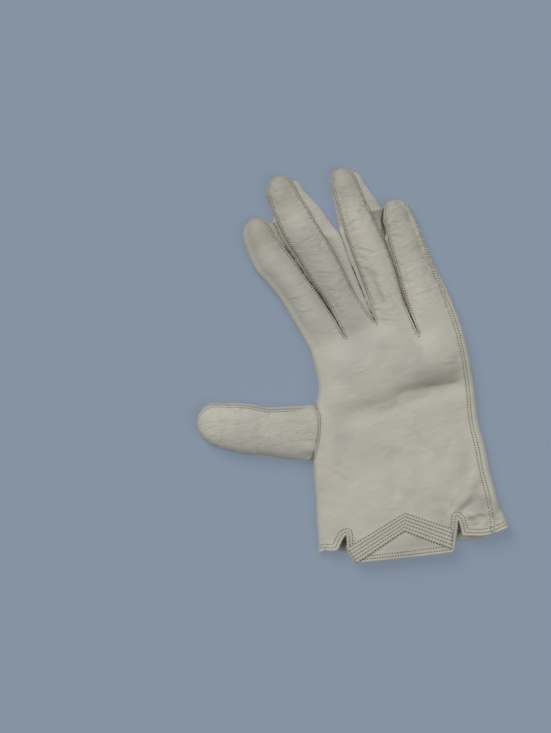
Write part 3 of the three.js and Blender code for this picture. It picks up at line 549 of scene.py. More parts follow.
@dataclass(frozen=True)
class Finger:
    """The form of one finger: a back strip, a palm strip and two sides that close over the tip.

    Its points are read by two shares: along, from the crotch to the tip, and share, from the left
    edge to the right one, or down a side from the back strip to the palm strip.
    """

    name: str
    index: int
    tip_x: float
    tip_y: float
    cap_y: float
    left_fold: bool
    right_fold: bool
    left_root_y: float
    right_root_y: float
    sections: tuple[FingerSection, ...]
    # The share of its length over which it leaves the form of the hand.
    root_blend: float = 0.24
    dome_power: float = 2.4
    side_bulge: float = 0.7

    def edge(self, side: Side, along: Array) -> dict[str, Array]:
        """Values along one edge of the finger.

        Args:
            side: Which edge.
            along: Share of the way from the crotch to the tip.

        Returns:
            y, shrink, seam, out, edge and crown by name.
        """
        left = side is Side.LEFT
        root_y = self.left_root_y if left else self.right_root_y
        y = lerp(root_y, self.tip_y, along)
        cap = np.clip((y - self.cap_y) / (self.tip_y - self.cap_y), 0.0, 1.0)
        shrink = np.sqrt(np.maximum(0.0, 1.0 - cap * cap))
        sections = (self.sections[0]._replace(y=root_y), *self.sections[1:])
        keys = {"seam": "seam1" if left else "seam2", "out": "out1" if left else "out2"}
        found = {name: profile(sections, "y", key, y) for name, key in keys.items()}
        return {
            "y": y,
            "shrink": shrink,
            "seam": lerp(self.tip_x, found["seam"], shrink),
            "out": lerp(self.tip_x, found["out"], shrink),
            "edge": profile(sections, "y", "edge", y),
            "crown": profile(sections, "y", "crown", y),
        }

    def back(self, along: Array, share: Array) -> Array:
        """Points of the back strip."""
        left, right = self.edge(Side.LEFT, along), self.edge(Side.RIGHT, along)
        x, y, edge, crown, shrink = (
            lerp(left[key], right[key], share) for key in ("seam", "y", "edge", "crown", "shrink")
        )
        own = edge + (crown - edge) * dome(share, self.dome_power)
        hand = HAND.height((self.index + share) * STRIP_UNITS, np.ones_like(share))
        height = lerp(hand, own, smoothstep(along / self.root_blend))
        return points_of(x, y, lerp(FINGERTIP_HEIGHT, height, shrink))

    def palm(self, along: Array, share: Array) -> Array:
        """Points of the palm strip."""
        left, right = self.edge(Side.LEFT, along), self.edge(Side.RIGHT, along)
        left_x = left["seam"] if self.left_fold else left["out"]
        right_x = right["seam"] if self.right_fold else right["out"]
        shrink = lerp(left["shrink"], right["shrink"], share)
        x = lerp(left_x, right_x, share)
        return points_of(x, lerp(left["y"], right["y"], share), FINGERTIP_HEIGHT * (1.0 - shrink))

    def wall(self, side: Side, along: Array, share: Array) -> Array:
        """Points of a side."""
        across = np.full_like(along, 0.0 if side is Side.LEFT else 1.0)
        top = self.back(along, across)
        bottom = self.palm(along, across)
        shrink = self.edge(side, along)["shrink"]
        if self.is_fold(side):
            angle = np.pi * share
            middle = (top[..., 2] + bottom[..., 2]) / 2.0
            half = (top[..., 2] - bottom[..., 2]) / 2.0
            x = top[..., 0] + side.value * FOLD_DEPTH * shrink * np.sin(angle)
            return points_of(x, top[..., 1], middle + half * np.cos(angle))
        points = lerp(top, bottom, share[..., None])
        bulge = self.side_bulge * shrink * np.sin(np.pi * share) * smoothstep(along / self.root_blend)
        points[..., 0] += side.value * bulge
        return points

    def is_fold(self, side: Side) -> bool:
        """Whether the hide runs round this side without a seam."""
        return self.left_fold if side is Side.LEFT else self.right_fold

    def stations(self) -> Array:
        """Shares of its length for its rows: even to the cap, then closing its round end."""
        start = min(self.left_root_y, self.right_root_y)
        cap_at = (self.cap_y - start) / (self.tip_y - start)
        straight = np.linspace(0.0, cap_at, FINGER_ROWS + 1)
        turn = np.sin(np.pi / 2.0 * np.arange(1, CAP_ROWS + 1) / CAP_ROWS)
        return np.concatenate([straight, lerp(cap_at, 1.0, turn)])

    def seam_line(self, side: Side, count: int = 700) -> Array:
        """Closely spaced points of one edge of the back strip."""
        along = np.linspace(0.0, 1.0, count)
        return self.back(along, np.full_like(along, 0.0 if side is Side.LEFT else 1.0))


FINGERS = (
    Finger("index", 0, -39.0, 139.0, 126.5, True, False, 57.6, CROTCHES[0][1], table(
        FingerSection,
        (57, -30, -12.2, -33, -12.2, 8.4, 14), (72, -32.4, -14.8, -35.6, -14.6, 7.6, 13),
        (88, -36, -18.9, -39.2, -17.4, 7.4, 12.4), (101, -40.4, -23, -43.6, -20.6, 7.4, 12.2),
        (111, -44.6, -25.8, -47.8, -23.2, 7.6, 12.1),
        (126.5, -45.8, -31.4, -48.9, -27.6, 7.7, 11.8),
    )),
    Finger("middle", 1, -18.6, 157.2, 144.5, False, False, CROTCHES[0][1], CROTCHES[1][1], table(
        FingerSection,
        (59, -12.2, 6.5, -12.2, 6.5, 9.6, 14), (72, -13.7, 3, -13.6, 4.1, 8, 13.4),
        (82, -15.4, 0.6, -15.2, 4.1, 7.8, 12.8), (95.5, -19.2, -1.1, -18.4, 4.1, 7.8, 12.6),
        (111, -22.7, -3.6, -22.2, 3.9, 7.6, 12.4), (123, -25.6, -6.2, -25.8, 0.9, 7.6, 12.2),
        (135, -27, -8.6, -27.9, -2.7, 7.8, 12), (144.5, -27.2, -11, -28.3, -7.2, 7.7, 11.8),
    )),
    Finger("ring", 2, 15.0, 150.2, 138.0, False, False, CROTCHES[1][1], CROTCHES[2][1], table(
        FingerSection,
        (47, 6.5, 27, 6.5, 27, 9.6, 14), (65.5, 6.9, 25.4, 5.6, 25.6, 8.6, 13.6),
        (72, 7.4, 25.7, 5, 25.8, 8, 13.2), (83, 7.7, 26.4, 4.9, 26.5, 7.8, 12.8),
        (99, 7.3, 26.2, 4.9, 27.2, 7.6, 12.4), (111, 7.2, 25.2, 4.8, 28.4, 7.6, 12.2),
        (123, 7.4, 23.9, 5.7, 30.2, 7.7, 12.1), (138, 8.4, 22.6, 7.4, 26.4, 7.7, 11.8),
    )),
    Finger("little", 3, 37.0, 123.6, 111.5, False, True, CROTCHES[2][1], 50.0, table(
        FingerSection,
        (47, 27, 46.2, 27, 49.4, 9, 13.6), (66, 27, 45.2, 26.2, 48.4, 7.6, 12.4),
        (82, 27.9, 44.1, 27.1, 47.2, 7.2, 11.6), (99, 28.7, 43.5, 28, 46.6, 7, 11.2),
        (111.5, 29.9, 42.1, 29.2, 45, 6.8, 10.8),
    )),
)


def linear(colour: str) -> tuple[float, float, float, float]:
    """Turns an sRGB hex colour to the linear values that the shaders take."""
    channels = [int(colour[k : k + 2], 16) / 255.0 for k in (1, 3, 5)]
    values = [c / 12.92 if c <= 0.04045 else ((c + 0.055) / 1.055) ** 2.4 for c in channels]
    return values[0], values[1], values[2], 1.0


def add_node(tree: Tree, kind: str, settings: dict, links: dict | None = None) -> bpy.types.Node:
    """Adds a node with its settings and links.

    Args:
        tree: The material's node tree.
        kind: The node's type, without ShaderNode.
        settings: Values by name, of its sockets or of the node itself.
        links: Sockets to link by the name or number of its inputs.

    Returns:
        The node.
    """
    node = tree.nodes.new(f"ShaderNode{kind}")
    for key, value in settings.items():
        if isinstance(key, int) or key in node.inputs:
            node.inputs[key].default_value = value
        else:
            setattr(node, key, value)
    for key, socket in (links or {}).items():
        tree.links.new(socket, node.inputs[key])
    return node


def add_noise(tree: Tree, place: Socket, size_mm: float, detail: float, **form: float) -> Socket:
    """Adds a noise with bumps of about a size, and gives its strength."""
    settings = {"Scale": 1.0 / (size_mm * MM), "Detail": detail, **form}
    return add_node(tree, "TexNoise", settings, {"Vector": place}).outputs["Fac"]


def start_material(name: str) -> tuple[Material, bpy.types.Node]:
    """Makes a material, ready for its nodes."""
    material = bpy.data.materials.new(name)
    material.use_nodes = True
    return material, material.node_tree.nodes["Principled BSDF"]


@dataclass(frozen=True)
class KidLeather:
    """Glove kid: a thin aniline-dyed skin, polished on its grain side.

    It gives the eye a soft, even ivory with faint cloudy patches, a low broad sheen, a fine grain
    that only shows in the light's edge, and painted shade that darkens it along seams, creases and
    hollows.
    """

    name: str
    light: str = "#dedacb"
    cloudy: str = "#d3cfbf"
    cool: str = "#bcbbb2"
    # The tone that painted shade darkens the leather toward.
    shade_tone: str = "#857f6f"
    roughness: float = 0.52
    # How much smoother the hollows of the wrinkles are, and how much rougher their tops.
    polish: Pair = (0.07, 0.09)
    specular: float = 0.42
    sheen: float = 0.06
    cloud_mm: float = 22.0
    cool_mm: float = 38.0
    # The range of the noise over which the leather turns cooler, and how far it turns.
    cool_range: Pair = (0.50, 0.72)
    cool_share: float = 0.5
    # A real grain is about 0.2 mm wide, and is drawn coarser so that it shows.
    grain_mm: float = 0.7
    grain_height_mm: float = 0.07
    wrinkle_mm: float = 3.2
    wrinkle_height_mm: float = 0.34
    wrinkle_stretch: Triple = (0.55, 1.0, 1.0)
    line_mm: float = 4.2
    line_height_mm: float = 0.13
    line_turn: float = 0.25
    line_stretch: Triple = (0.42, 1.0, 0.8)
    # How far from its middle the noise still belongs to a line.
    line_width: float = 0.055

    def material(self) -> Material:
        """Builds the material."""
        material, shader = start_material(self.name)
        tree = material.node_tree
        place = add_node(tree, "TexCoord", {}).outputs["Object"]
        tree.links.new(self.colour(tree, place), shader.inputs["Base Color"])
        stretched = add_node(tree, "Mapping", {"Scale": self.wrinkle_stretch}, {"Vector": place})
        wrinkle = add_noise(
            tree, stretched.outputs["Vector"], self.wrinkle_mm, 5.0, Roughness=0.62, Distortion=0.6
        )
        gloss = add_node(
            tree, "MapRange",
            {"To Min": self.roughness - self.polish[0], "To Max": self.roughness + self.polish[1]},
            {"Value": wrinkle},
        )
        tree.links.new(gloss.outputs["Result"], shader.inputs["Roughness"])
        grain = add_noise(tree, place, self.grain_mm, 3.0)
        layers = (
            (wrinkle, self.wrinkle_height_mm),
            (self.crease_lines(tree, place), self.line_height_mm),
            (grain, self.grain_height_mm),
        )
        below = {}
        for height, depth_mm in layers:
            form = {"Strength": 1.0, "Distance": depth_mm * MM}
            bumps = add_node(tree, "Bump", form, {"Height": height, **below})
            below = {"Normal": bumps.outputs["Normal"]}
        tree.links.new(below["Normal"], shader.inputs["Normal"])
        shader.inputs["Sheen Weight"].default_value = self.sheen
        shader.inputs["Specular IOR Level"].default_value = self.specular
        return material

    def colour(self, tree: Tree, place: Socket) -> Socket:
        """Ivory in two close tones, cooler in patches and darker by painted shade.

        Args:
            tree: The material's node tree.
            place: Where the surface is.

        Returns:
            The colour.
        """
        cloud = add_noise(tree, place, self.cloud_mm, 4.0)
        tone = add_node(
            tree, "Mix", {"data_type": "RGBA", 6: linear(self.cloudy), 7: linear(self.light)},
            {0: cloud},
        )
        drift = add_noise(tree, place, self.cool_mm, 3.0, Distortion=0.8)
        low, high = self.cool_range
        patches = add_node(
            tree, "MapRange", {"From Min": low, "From Max": high, "To Max": self.cool_share},
            {"Value": drift},
        )
        grey = add_node(tree, "Attribute", {"attribute_name": "grey"})
        tint = add_node(
            tree, "Math", {"operation": "MAXIMUM"},
            {0: patches.outputs["Result"], 1: grey.outputs["Fac"]},
        )
        cooled = add_node(
            tree, "Mix", {"data_type": "RGBA", 7: linear(self.cool)},
            {0: tint.outputs["Value"], 6: tone.outputs[2]},
        )
        # The shade field is painted shade, mixing the colour toward the shade tone.
        shade = add_node(tree, "Attribute", {"attribute_name": "shade"})
        shaded_colour = add_node(
            tree, "Mix", {"data_type": "RGBA", 7: linear(self.shade_tone)},
            {0: shade.outputs["Fac"], 6: cooled.outputs[2]},
        )
        return shaded_colour.outputs[2]

    def crease_lines(self, tree: Tree, place: Socket) -> Socket:
        """Fine lines across the fingers, where a noise passes its middle.

        Args:
            tree: The material's node tree.
            place: Where the surface is.

        Returns:
            Their height, 0 away from a line and down to -1 in one.
        """
        turned = add_node(
            tree, "Mapping",
            {"Rotation": (0.0, 0.0, self.line_turn), "Scale": self.line_stretch}, {"Vector": place},
        )
        wave = add_noise(
            tree, turned.outputs["Vector"], self.line_mm, 3.0, Roughness=0.55, Distortion=0.9
        )
        off = add_node(tree, "Math", {"operation": "SUBTRACT", 1: 0.5}, {0: wave})
        away = add_node(tree, "Math", {"operation": "ABSOLUTE"}, {0: off.outputs["Value"]})
        form = {"From Max": self.line_width, "To Min": -1.0, "To Max": 0.0}
        line = add_node(
            tree, "MapRange", {"interpolation_type": "SMOOTHSTEP", **form},
            {"Value": away.outputs["Value"]},
        )
        crinkle = add_node(tree, "Attribute", {"attribute_name": "crinkle"})
        depth = add_node(
            tree, "Math", {"operation": "MULTIPLY"},
            {0: line.outputs["Result"], 1: crinkle.outputs["Fac"]},
        )
        return depth.outputs["Value"]


@dataclass(frozen=True)
class MottledFinish:
    """A matt finish in two close tones, mixed by a noise."""

    name: str
    tone: str
    other_tone: str
    patch_mm: float
    roughness: float

    def material(self) -> Material:
        """Builds the material."""
        material, shader = start_material(self.name)
        tree = material.node_tree
        place = add_node(tree, "TexCoord", {}).outputs["Object"]
        patch = add_noise(tree, place, self.patch_mm, 2.0)
        mixed = add_node(
            tree, "Mix", {"data_type": "RGBA", 6: linear(self.tone), 7: linear(self.other_tone)},
            {0: patch},
        )
        tree.links.new(mixed.outputs[2], shader.inputs["Base Color"])
        shader.inputs["Roughness"].default_value = self.roughness
        return material


@dataclass(frozen=True)
class SewingThread(MottledFinish):
    """Silk sewing thread, dyed to the leather: matt ivory with a faint twist across it."""

    name: str = "silk sewing thread"
    tone: str = "#cdc6b4"
    other_tone: str = "#e9e4d6"
    patch_mm: float = 0.3
    roughness: float = 0.7


@dataclass(frozen=True)
class NeedleHoleShade(MottledFinish):
    """The small hole that a leather needle leaves, drawn as a dark dot of painted shade between two
    stitches.
    """

    name: str = "needle hole in kid"
    tone: str = "#4a4438"
    other_tone: str = "#5c5546"
    patch_mm: float = 4.0
    roughness: float = 0.9


@dataclass(frozen=True)
class BackdropPaper:
    """Seamless studio paper: matt pale slate blue, lit from behind so that it keeps little shadow."""

    name: str = "studio backdrop paper"
    colour: str = "#a5b4c7"
    lit: str = "#8592a2"
    backlight: float = 0.65
    roughness: float = 0.95
    specular: float = 0.1

    def material(self) -> Material:
        """Builds the material."""
        material, shader = start_material(self.name)
        front = [(1.0 - self.backlight) * value for value in linear(self.colour)[:3]]
        shader.inputs["Base Color"].default_value = (*front, 1.0)
        shader.inputs["Emission Color"].default_value = linear(self.lit)
        shader.inputs["Emission Strength"].default_value = self.backlight
        shader.inputs["Roughness"].default_value = self.roughness
        shader.inputs["Specular IOR Level"].default_value = self.specular
        return material


def new_sheet() -> Sheet:
    """An empty mesh in millimetres, with the layers that the pieces of leather share."""
    bm = bmesh.new()
    bm.faces.layers.int.new("region")
    for name in SURFACE_LAYERS:
        bm.verts.layers.float.new(name)
    return bm


def add_patch(
    bm: Sheet,
    columns: int,
    rows: int,
    place: Callable[[Array, Array], Array],
    region: Region,
    keep: Callable[[int, int], bool] | None = None,
) -> None:
    """Adds a grid and moves each of its vertices by a formula.

    Args:
        bm: The sheet to add to.
        columns: Cells across.
        rows: Cells down.
        place: Gives the points for numbers of columns and rows.
        region: The region of the grid's faces.
        keep: Whether the cell at a column and row stays.
    """
    layer = bm.faces.layers.int["region"]
    verts = bmesh.ops.create_grid(bm, x_segments=columns, y_segments=rows, size=0.5)["verts"]
    column = np.rint((np.array([v.co.x for v in verts]) + 0.5) * columns).astype(int)
    row = np.rint((np.array([v.co.y for v in verts]) + 0.5) * rows).astype(int)
    cell = {}
    for vert, point, c, r in zip(verts, place(column, row), column, row):
        vert.co = point
        cell[vert] = (c, r)
    dropped = []
    for face in {face for vert in verts for face in vert.link_faces}:
        face[layer] = region
        corner = (min(cell[v][0] for v in face.verts), min(cell[v][1] for v in face.verts))
        if keep is not None and not keep(*corner):
            dropped.append(face)
    bmesh.ops.delete(bm, geom=dropped, context="FACES")


def close_sheet(bm: Sheet, outside: Callable[[Sheet], float]) -> None:
    """Merges the patches of a sheet and points its faces outwards.

    Args:
        bm: The sheet.
        outside: Above zero once the faces point outwards.
    """
    bmesh.ops.remove_doubles(bm, verts=bm.verts, dist=0.004)
    bmesh.ops.recalc_face_normals(bm, faces=bm.faces)
    bm.normal_update()
    if outside(bm) < 0.0:
        bmesh.ops.reverse_faces(bm, faces=bm.faces)
    renumber(bm)


def renumber(bm: Sheet) -> None:
    """Brings normals, numbers and tables up to date."""
    bm.normal_update()
    for elements in (bm.verts, bm.edges, bm.faces):
        elements.index_update()
        elements.ensure_lookup_table()


def places(bm: Sheet) -> Array:
    """The vertices' places."""
    return np.array([v.co for v in bm.verts])


def touches(bm: Sheet, region: Region) -> Array:
    """Which vertices have a face of a region."""
    layer = bm.faces.layers.int["region"]
    return np.array([any(face[layer] == region for face in v.link_faces) for v in bm.verts])


def sampled(lines: Iterable[Array], step: float = 0.2) -> Array:
    """Closely spaced points along lines of points."""
    found = []
    for line in lines:
        for start, end in zip(line[:-1], line[1:]):
            count = max(1, math.ceil(float(np.linalg.norm(end - start)) / step))
            found.append(lerp(start, end, np.arange(count)[:, None] / count))
        found.append(line[-1:])
    return np.concatenate(found)


def nearest(points: Array, line: Array) -> tuple[Array, Array]:
    """Finds a line from points near it.

    Args:
        points: The points.
        line: Closely spaced points of the line.

    Returns:
        Each point's distance from the line, and the nearest of the line's points.
    """
    tree = kdtree.KDTree(len(line))
    for number, point in enumerate(line):
        tree.insert(point, number)
    tree.balance()
    found = [tree.find(point) for point in points]
    return np.array([f[2] for f in found]), line[np.array([f[1] for f in found])]


def free_edges(bm: Sheet, inside: Callable[[Vector], bool]) -> Edges:
    """The free edges of a sheet whose middles pass a test."""
    return [e for e in bm.edges if e.is_boundary and inside((e.verts[0].co + e.verts[1].co) / 2.0)]


def straight_down(surface: BVHTree, x: float, y: float) -> tuple[Vector | None, Vector | None]:
    """The place and the normal of a surface straight below a place in plan."""
    return surface.ray_cast(Vector((x, y, OVERHEAD)), Vector((0.0, 0.0, -1.0)))[:2]


def contours(bm: Sheet, values: Array, level: float, regions: Iterable[Region]) -> list[Chain]:
    """Lines on a sheet along which the vertices' values reach a level.

    Args:
        bm: The sheet, with its numbers up to date.
        values: A value for each vertex.
        level: The value to follow.
        regions: The regions that the lines keep to.

    Returns:
        Chains of a point and the sheet's normal there.
    """
    layer = bm.faces.layers.int["region"]
    wanted = set(regions)
    ends = np.array([(e.verts[0].index, e.verts[1].index) for e in bm.edges])
    over = values[ends] - level
    crossed = np.flatnonzero(over[:, 0] * over[:, 1] < 0.0)
    stops = {}
    for number in crossed:
        start, end = bm.edges[number].verts
        share = float(over[number, 0] / (over[number, 0] - over[number, 1]))
        normal = start.normal.lerp(end.normal, share).normalized()
        stops[int(number)] = (start.co.lerp(end.co, share), normal)
    links = {number: [] for number in stops}
    seen = set()
    for number in stops:
        for face in bm.edges[number].link_faces:
            if face.index in seen or face[layer] not in wanted:
                continue
            seen.add(face.index)
            cut = [e.index for e in face.edges if e.index in stops]
            if len(cut) == 2:
                links[cut[0]].append(cut[1])
                links[cut[1]].append(cut[0])
    return follow(stops, links)


def follow(stops: dict[int, tuple[Vector, Vector]], links: dict[int, list[int]]) -> list[Chain]:
    """Puts linked stops in order, open lines first and then closed ones."""
    left = {number for number, near in links.items() if near}
    starts = [number for number in left if len(links[number]) == 1] + sorted(left)
    chains = []
    for start in starts:
        if start not in left:
            continue
        left.discard(start)
        path = [start]
        while True:
            ahead = [n for n in links[path[-1]] if n in left]
            if not ahead:
                break
            left.discard(ahead[0])
            path.append(ahead[0])
        if start in links[path[-1]] and len(path) > 2:
            path.append(start)
        chains.append([stops[number] for number in path])
    return chains


def turn_under(bm: Sheet, edges: Edges, radius: float, tuck: float) -> None:
    """Rolls free edges under, as a turned hem is.

    Args:
        bm: The sheet.
        edges: Its free edges to roll.
        radius: Radius of the roll.
        tuck: How far the turned leather runs back inside.
    """
    start = {}
    for vert in {vert for edge in edges for vert in edge.verts}:
        ends = [edge.other_vert(vert).co for edge in vert.link_edges if edge.is_boundary]
        tangent = (ends[0] - ends[-1]).normalized()
        centres = [face.calc_center_median() for face in vert.link_faces]
        away = vert.co - sum(centres, Vector()) / len(centres)
        away -= tangent * away.dot(tangent)
        away -= vert.normal * away.dot(vert.normal)
        start[tuple(vert.co)] = (vert.co.copy(), away.normalized(), vert.normal.copy())
    angles = [math.pi * step / HEM_STEPS for step in range(1, HEM_STEPS + 1)]
    shapes = [(math.sin(angle), 1.0 - math.cos(angle)) for angle in angles]
    origins = {key: key for key in start}
    ring = edges
    for out, down in [*shapes, (-tuck / radius, 2.0)]:
        made = bmesh.ops.extrude_edge_only(bm, edges=ring)["geom"]
        ring = [g for g in made if isinstance(g, bmesh.types.BMEdge)]
        moved = {}
        for vert in (g for g in made if isinstance(g, bmesh.types.BMVert)):
            origin = origins[tuple(vert.co)]
            base, away, normal = start[origin]
            vert.co = base + away * radius * out - normal * radius * down
            moved[tuple(vert.co)] = origin
        origins = moved


def smooth_sheet(bm: Sheet, fixed: Array, passes: int) -> None:
    """Eases the kinks of a sheet, apart from its fixed vertices."""
    loose = [vert for vert, held in zip(bm.verts, fixed) if not held]
    for _ in range(passes):
        bmesh.ops.smooth_vert(
            bm, verts=loose, factor=0.5, use_axis_x=True, use_axis_y=True, use_axis_z=True
        )
    renumber(bm)


@dataclass
class Relief:
    """Low folds and seams that move leather along its normals, and the painted shade, tint and fine
    creasing that its material reads.

    Seams and bands are given by the points' distances from a line and the line's nearest points,
    and by a mask, which says how much each point takes.
    """

    points: Array
    rise: Array = field(init=False)
    shade: Array = field(init=False)
    grey: Array = field(init=False)
    crinkle: Array = field(init=False)

    # Fine creases lie in patches this wide. Their noise is in a crease or its lip where it is
    # within a width of its middle.
    PATCH = 14.0
    FINE_LINE = (0.0, 0.13)
    FINE_LIP = (0.30, 0.16)
    # The lip beside a crease, as a share of its depth, and how far a crease wanders in widths.
    LIP = 0.55
    LIP_OFF = 1.9
    WANDER = 1.4
    # How dark the painted shade in a crease is, by its depth.
    FINE_PAINTED_SHADE = 0.5
    CREASE_PAINTED_SHADE = 0.35

    def __post_init__(self) -> None:
        """Starts flat and clean."""
        for name in ("rise", *SURFACE_LAYERS):
            setattr(self, name, np.zeros(len(self.points)))

    def ridges(self, distance: Array, mask: Amount, ridges: Iterable[Ridge]) -> None:
        """Works ridges, grooves and painted shade in, by the points' distances from a line."""
        for ridge in ridges:
            form = mask * bump(distance, ridge.off, ridge.width)
            self.rise += ridge.height * form
            self.shade += ridge.painted_shade * form

    def pucker(
        self, distance: Array, near: Array, mask: Amount, swell: Swell, off: float, width: float
    ) -> None:
        """Puckers the leather along a line, in a band that lies off it and has a width."""
        self.rise += mask * swell_of(near, [swell]) * bump(distance, off, width)

    def seam(self, distance: Array, near: Array, mask: Array, row: float) -> None:
        """A lapped seam: a lip at its edge, a swell past it, a groove along its row of stitches, and
        painted shade at its edge and in the groove.
        """
        # The groove and the last, flat ridge at the edge take painted shade.
        lapped = (
            Ridge(0.34, 0.3 * row, 0.42), Ridge(0.18, row + 1.2, 0.8),
            Ridge(-0.26, row, 0.36, 0.18), Ridge(0.0, 0.0, 0.34, 0.85),
        )
        self.ridges(distance, mask, lapped)
        self.pucker(distance, near, mask, Swell(0.30, 2.0, SEED), row + 0.5, 1.9)

    def double_seam(self, distance: Array, near: Array, mask: Array, row: float) -> None:
        """A seam with a row of stitches on each side of it."""
        # The groove under the stitches takes painted shade.
        band = (Ridge(0.30, 0.0, 0.7), Ridge(0.16, row + 1.3, 0.8), Ridge(-0.30, row, 0.36, 0.22))
        self.ridges(distance, mask, band)
        self.pucker(distance, near, mask, Swell(0.34, 2.4, SEED + 3), 0.0, 3.2)

    def hem(self, distance: Array, near: Array, rows: Sequence[float]) -> None:
        """A turned hem: a thicker band with a groove under each row of stitches."""
        self.rise += 0.30 * (1.0 - smoothstep((distance - rows[-1]) / 1.2))
        # Each groove takes painted shade.
        self.ridges(distance, 1.0, [Ridge(-0.32, row, 0.38, 0.18) for row in rows])
        self.pucker(distance, near, 1.0, Swell(0.30, 3.2, SEED + 5), 0.0, 4.5)

    def wrinkles(self, mask: Array, kind: Wrinkles) -> None:
        """Fine creases that gather in patches, where a soft noise crosses zero."""
        wave = soft_noise(self.points, kind.along, kind.seed, (kind.along / kind.across, 1.0, 0.6))
        patch = smoothstep(0.35 + 1.6 * soft_noise(self.points, self.PATCH, kind.seed + 2.0))
        line = bump(wave, *self.FINE_LINE)
        lip = self.LIP * bump(wave, *self.FINE_LIP)
        self.rise -= mask * patch * kind.depth * (line - lip)
        # Painted shade in the fine crease lines.
        self.shade += mask * patch * kind.depth * self.FINE_PAINTED_SHADE * line

    def crease(self, crease: Crease, mask: Array, wander: Array) -> None:
        """A line that a wandering noise bends a little, with a soft lip on its left."""
        x, y = self.points[:, 0], self.points[:, 1]
        distance, share, left = segment_distance(x, y, crease)
        fade = smoothstep(np.minimum(share, 1.0 - share) / 0.25)
        ends = bump(distance, 0.0, crease.width * 3.0)
        moved = left + wander * crease.width * self.WANDER
        valley = bump(moved, 0.0, crease.width)
        lip = self.LIP * bump(moved, self.LIP_OFF * crease.width, crease.width)
        self.rise -= mask * fade * ends * crease.depth * (valley - lip)
        # Painted shade in the crease's valley.
        self.shade += mask * fade * ends * max(0.0, crease.depth) * self.CREASE_PAINTED_SHADE * valley

    def apply(self, bm: Sheet) -> None:
        """Moves the sheet's vertices, none below the rest face, and writes what its material reads."""
        for vert, rise in zip(bm.verts, self.rise):
            down = max(-vert.normal.z, 0.001)
            vert.co += vert.normal * min(float(rise), vert.co.z / down)
        for name in SURFACE_LAYERS:
            layer = bm.verts.layers.float[name]
            for vert, value in zip(bm.verts, np.clip(getattr(self, name), 0.0, 1.0)):
                vert[layer] = float(value)
        renumber(bm)


def add_piece(
    name: str, bm: Sheet, material: Material, nodes: Sequence[str] = ()
) -> bpy.types.Object:
    """Writes a mesh in millimetres as a piece of the glove.

    Args:
        name: The piece's name.
        bm: Its mesh, which is used up.
        material: Its finish.
        nodes: The model's nodes that it stands for.

    Returns:
        The piece.
    """
    bmesh.ops.scale(bm, vec=(MM, MM, MM), verts=bm.verts)
    mesh = bpy.data.meshes.new(name)
    bm.to_mesh(mesh)
    bm.free()
    mesh.shade_smooth()
    mesh.materials.append(material)
    piece = bpy.data.objects.new(name, mesh)
    bpy.context.scene.collection.objects.link(piece)
    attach(piece, BODY)
    if nodes:
        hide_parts(*nodes)
    LOG.info("%s: %d faces", name, len(mesh.polygons))
    return piece


def thicken(piece: bpy.types.Object, thickness_mm: float) -> None:
    """Gives a sheet its wall, inwards from the face that shows."""
    wall = piece.modifiers.new("leather", "SOLIDIFY")
    wall.thickness = thickness_mm * MM
    wall.offset = -1.0
    wall.use_rim = True


@dataclass
class Stitching:
    """Rows of small stitches with a needle hole between each two, each hole a dark dot of painted shade.
    """

    # Real stitches are about 1.2 mm apart, and are drawn a little coarser so that they show.
    pitch: float = 1.45
    length: float = 0.85
    thickness: float = 0.54
    hole: float = 0.70
    hole_depth: float = 0.12
    batch: int = 40
    threads: list[Matrix] = field(default_factory=list)
    holes: list[Matrix] = field(default_factory=list)

    def sew_where(self, chains: Iterable[Chain], inside: Callable[[Vector], bool]) -> None:
        """Sews along the points of chains that pass a test."""
        for chain in chains:
            kept = [stop for stop in chain if inside(stop[0])]
            if len(kept) > 4:
                self.sew(kept)

    def sew(self, chain: Chain, lift: float = 0.10) -> None:
        """Sews along a chain, with the middles of its stitches lifted off the leather."""
        points = np.array([point for point, _ in chain])
        steps = np.linalg.norm(np.diff(points, axis=0), axis=1)
        travelled = np.concatenate([[0.0], np.cumsum(steps)])
        for number in range(int(travelled[-1] // self.pitch)):
            middle = (number + 0.5) * self.pitch
            stops = middle + np.array([-0.5 * self.length, 0.0, 0.5 * self.length, 0.5 * self.pitch])
            at = np.interp(stops, travelled, np.arange(len(points)))
            start, centre, end, gap = (self.read(points, a) for a in at)
            along = end - start
            if along.length < 0.5 * self.length:
                continue
            along.normalize()
            normal = chain[int(round(at[1]))][1]
            side = normal.cross(along).normalized()
            turn = Matrix((along, side, along.cross(side))).transposed().to_4x4()
            half = self.thickness / 2.0
            thread = Matrix.Diagonal((self.length / 2.0, half, half, 1.0))
            self.threads.append(Matrix.Translation(centre + normal * lift) @ turn @ thread)
            flat = Matrix.Diagonal((self.hole / 2.0, self.hole / 2.0, self.hole_depth, 1.0))
            self.holes.append(Matrix.Translation(gap) @ turn @ flat)

    @staticmethod
    def read(points: Array, at: float) -> Vector:
        """The point at a number that may lie between two."""
        low = min(int(at), len(points) - 2)
        return Vector(lerp(points[low], points[low + 1], at - low))

    def beads(self, placed: list[Matrix], down: int) -> Sheet:
        """One mesh with a stretched ball at each place, made batch by batch because that is faster."""
        whole = bmesh.new()
        for start in range(0, len(placed), self.batch):
            part = bmesh.new()
            for place in placed[start : start + self.batch]:
                bmesh.ops.create_uvsphere(part, u_segments=6, v_segments=down, radius=1.0, matrix=place)
            mesh = bpy.data.meshes.new("batch")
            part.to_mesh(mesh)
            part.free()
            whole.from_mesh(mesh)
            bpy.data.meshes.remove(mesh)
        return whole

    def finish(self, name: str, thread: Material, hole: Material) -> None:
        """Writes the stitches, and their holes as dots of painted shade, as two pieces."""
        add_piece(f"{name}_stitches", self.beads(self.threads, 5), thread)
        add_piece(f"{name}_needle_holes", self.beads(self.holes, 4), hole)


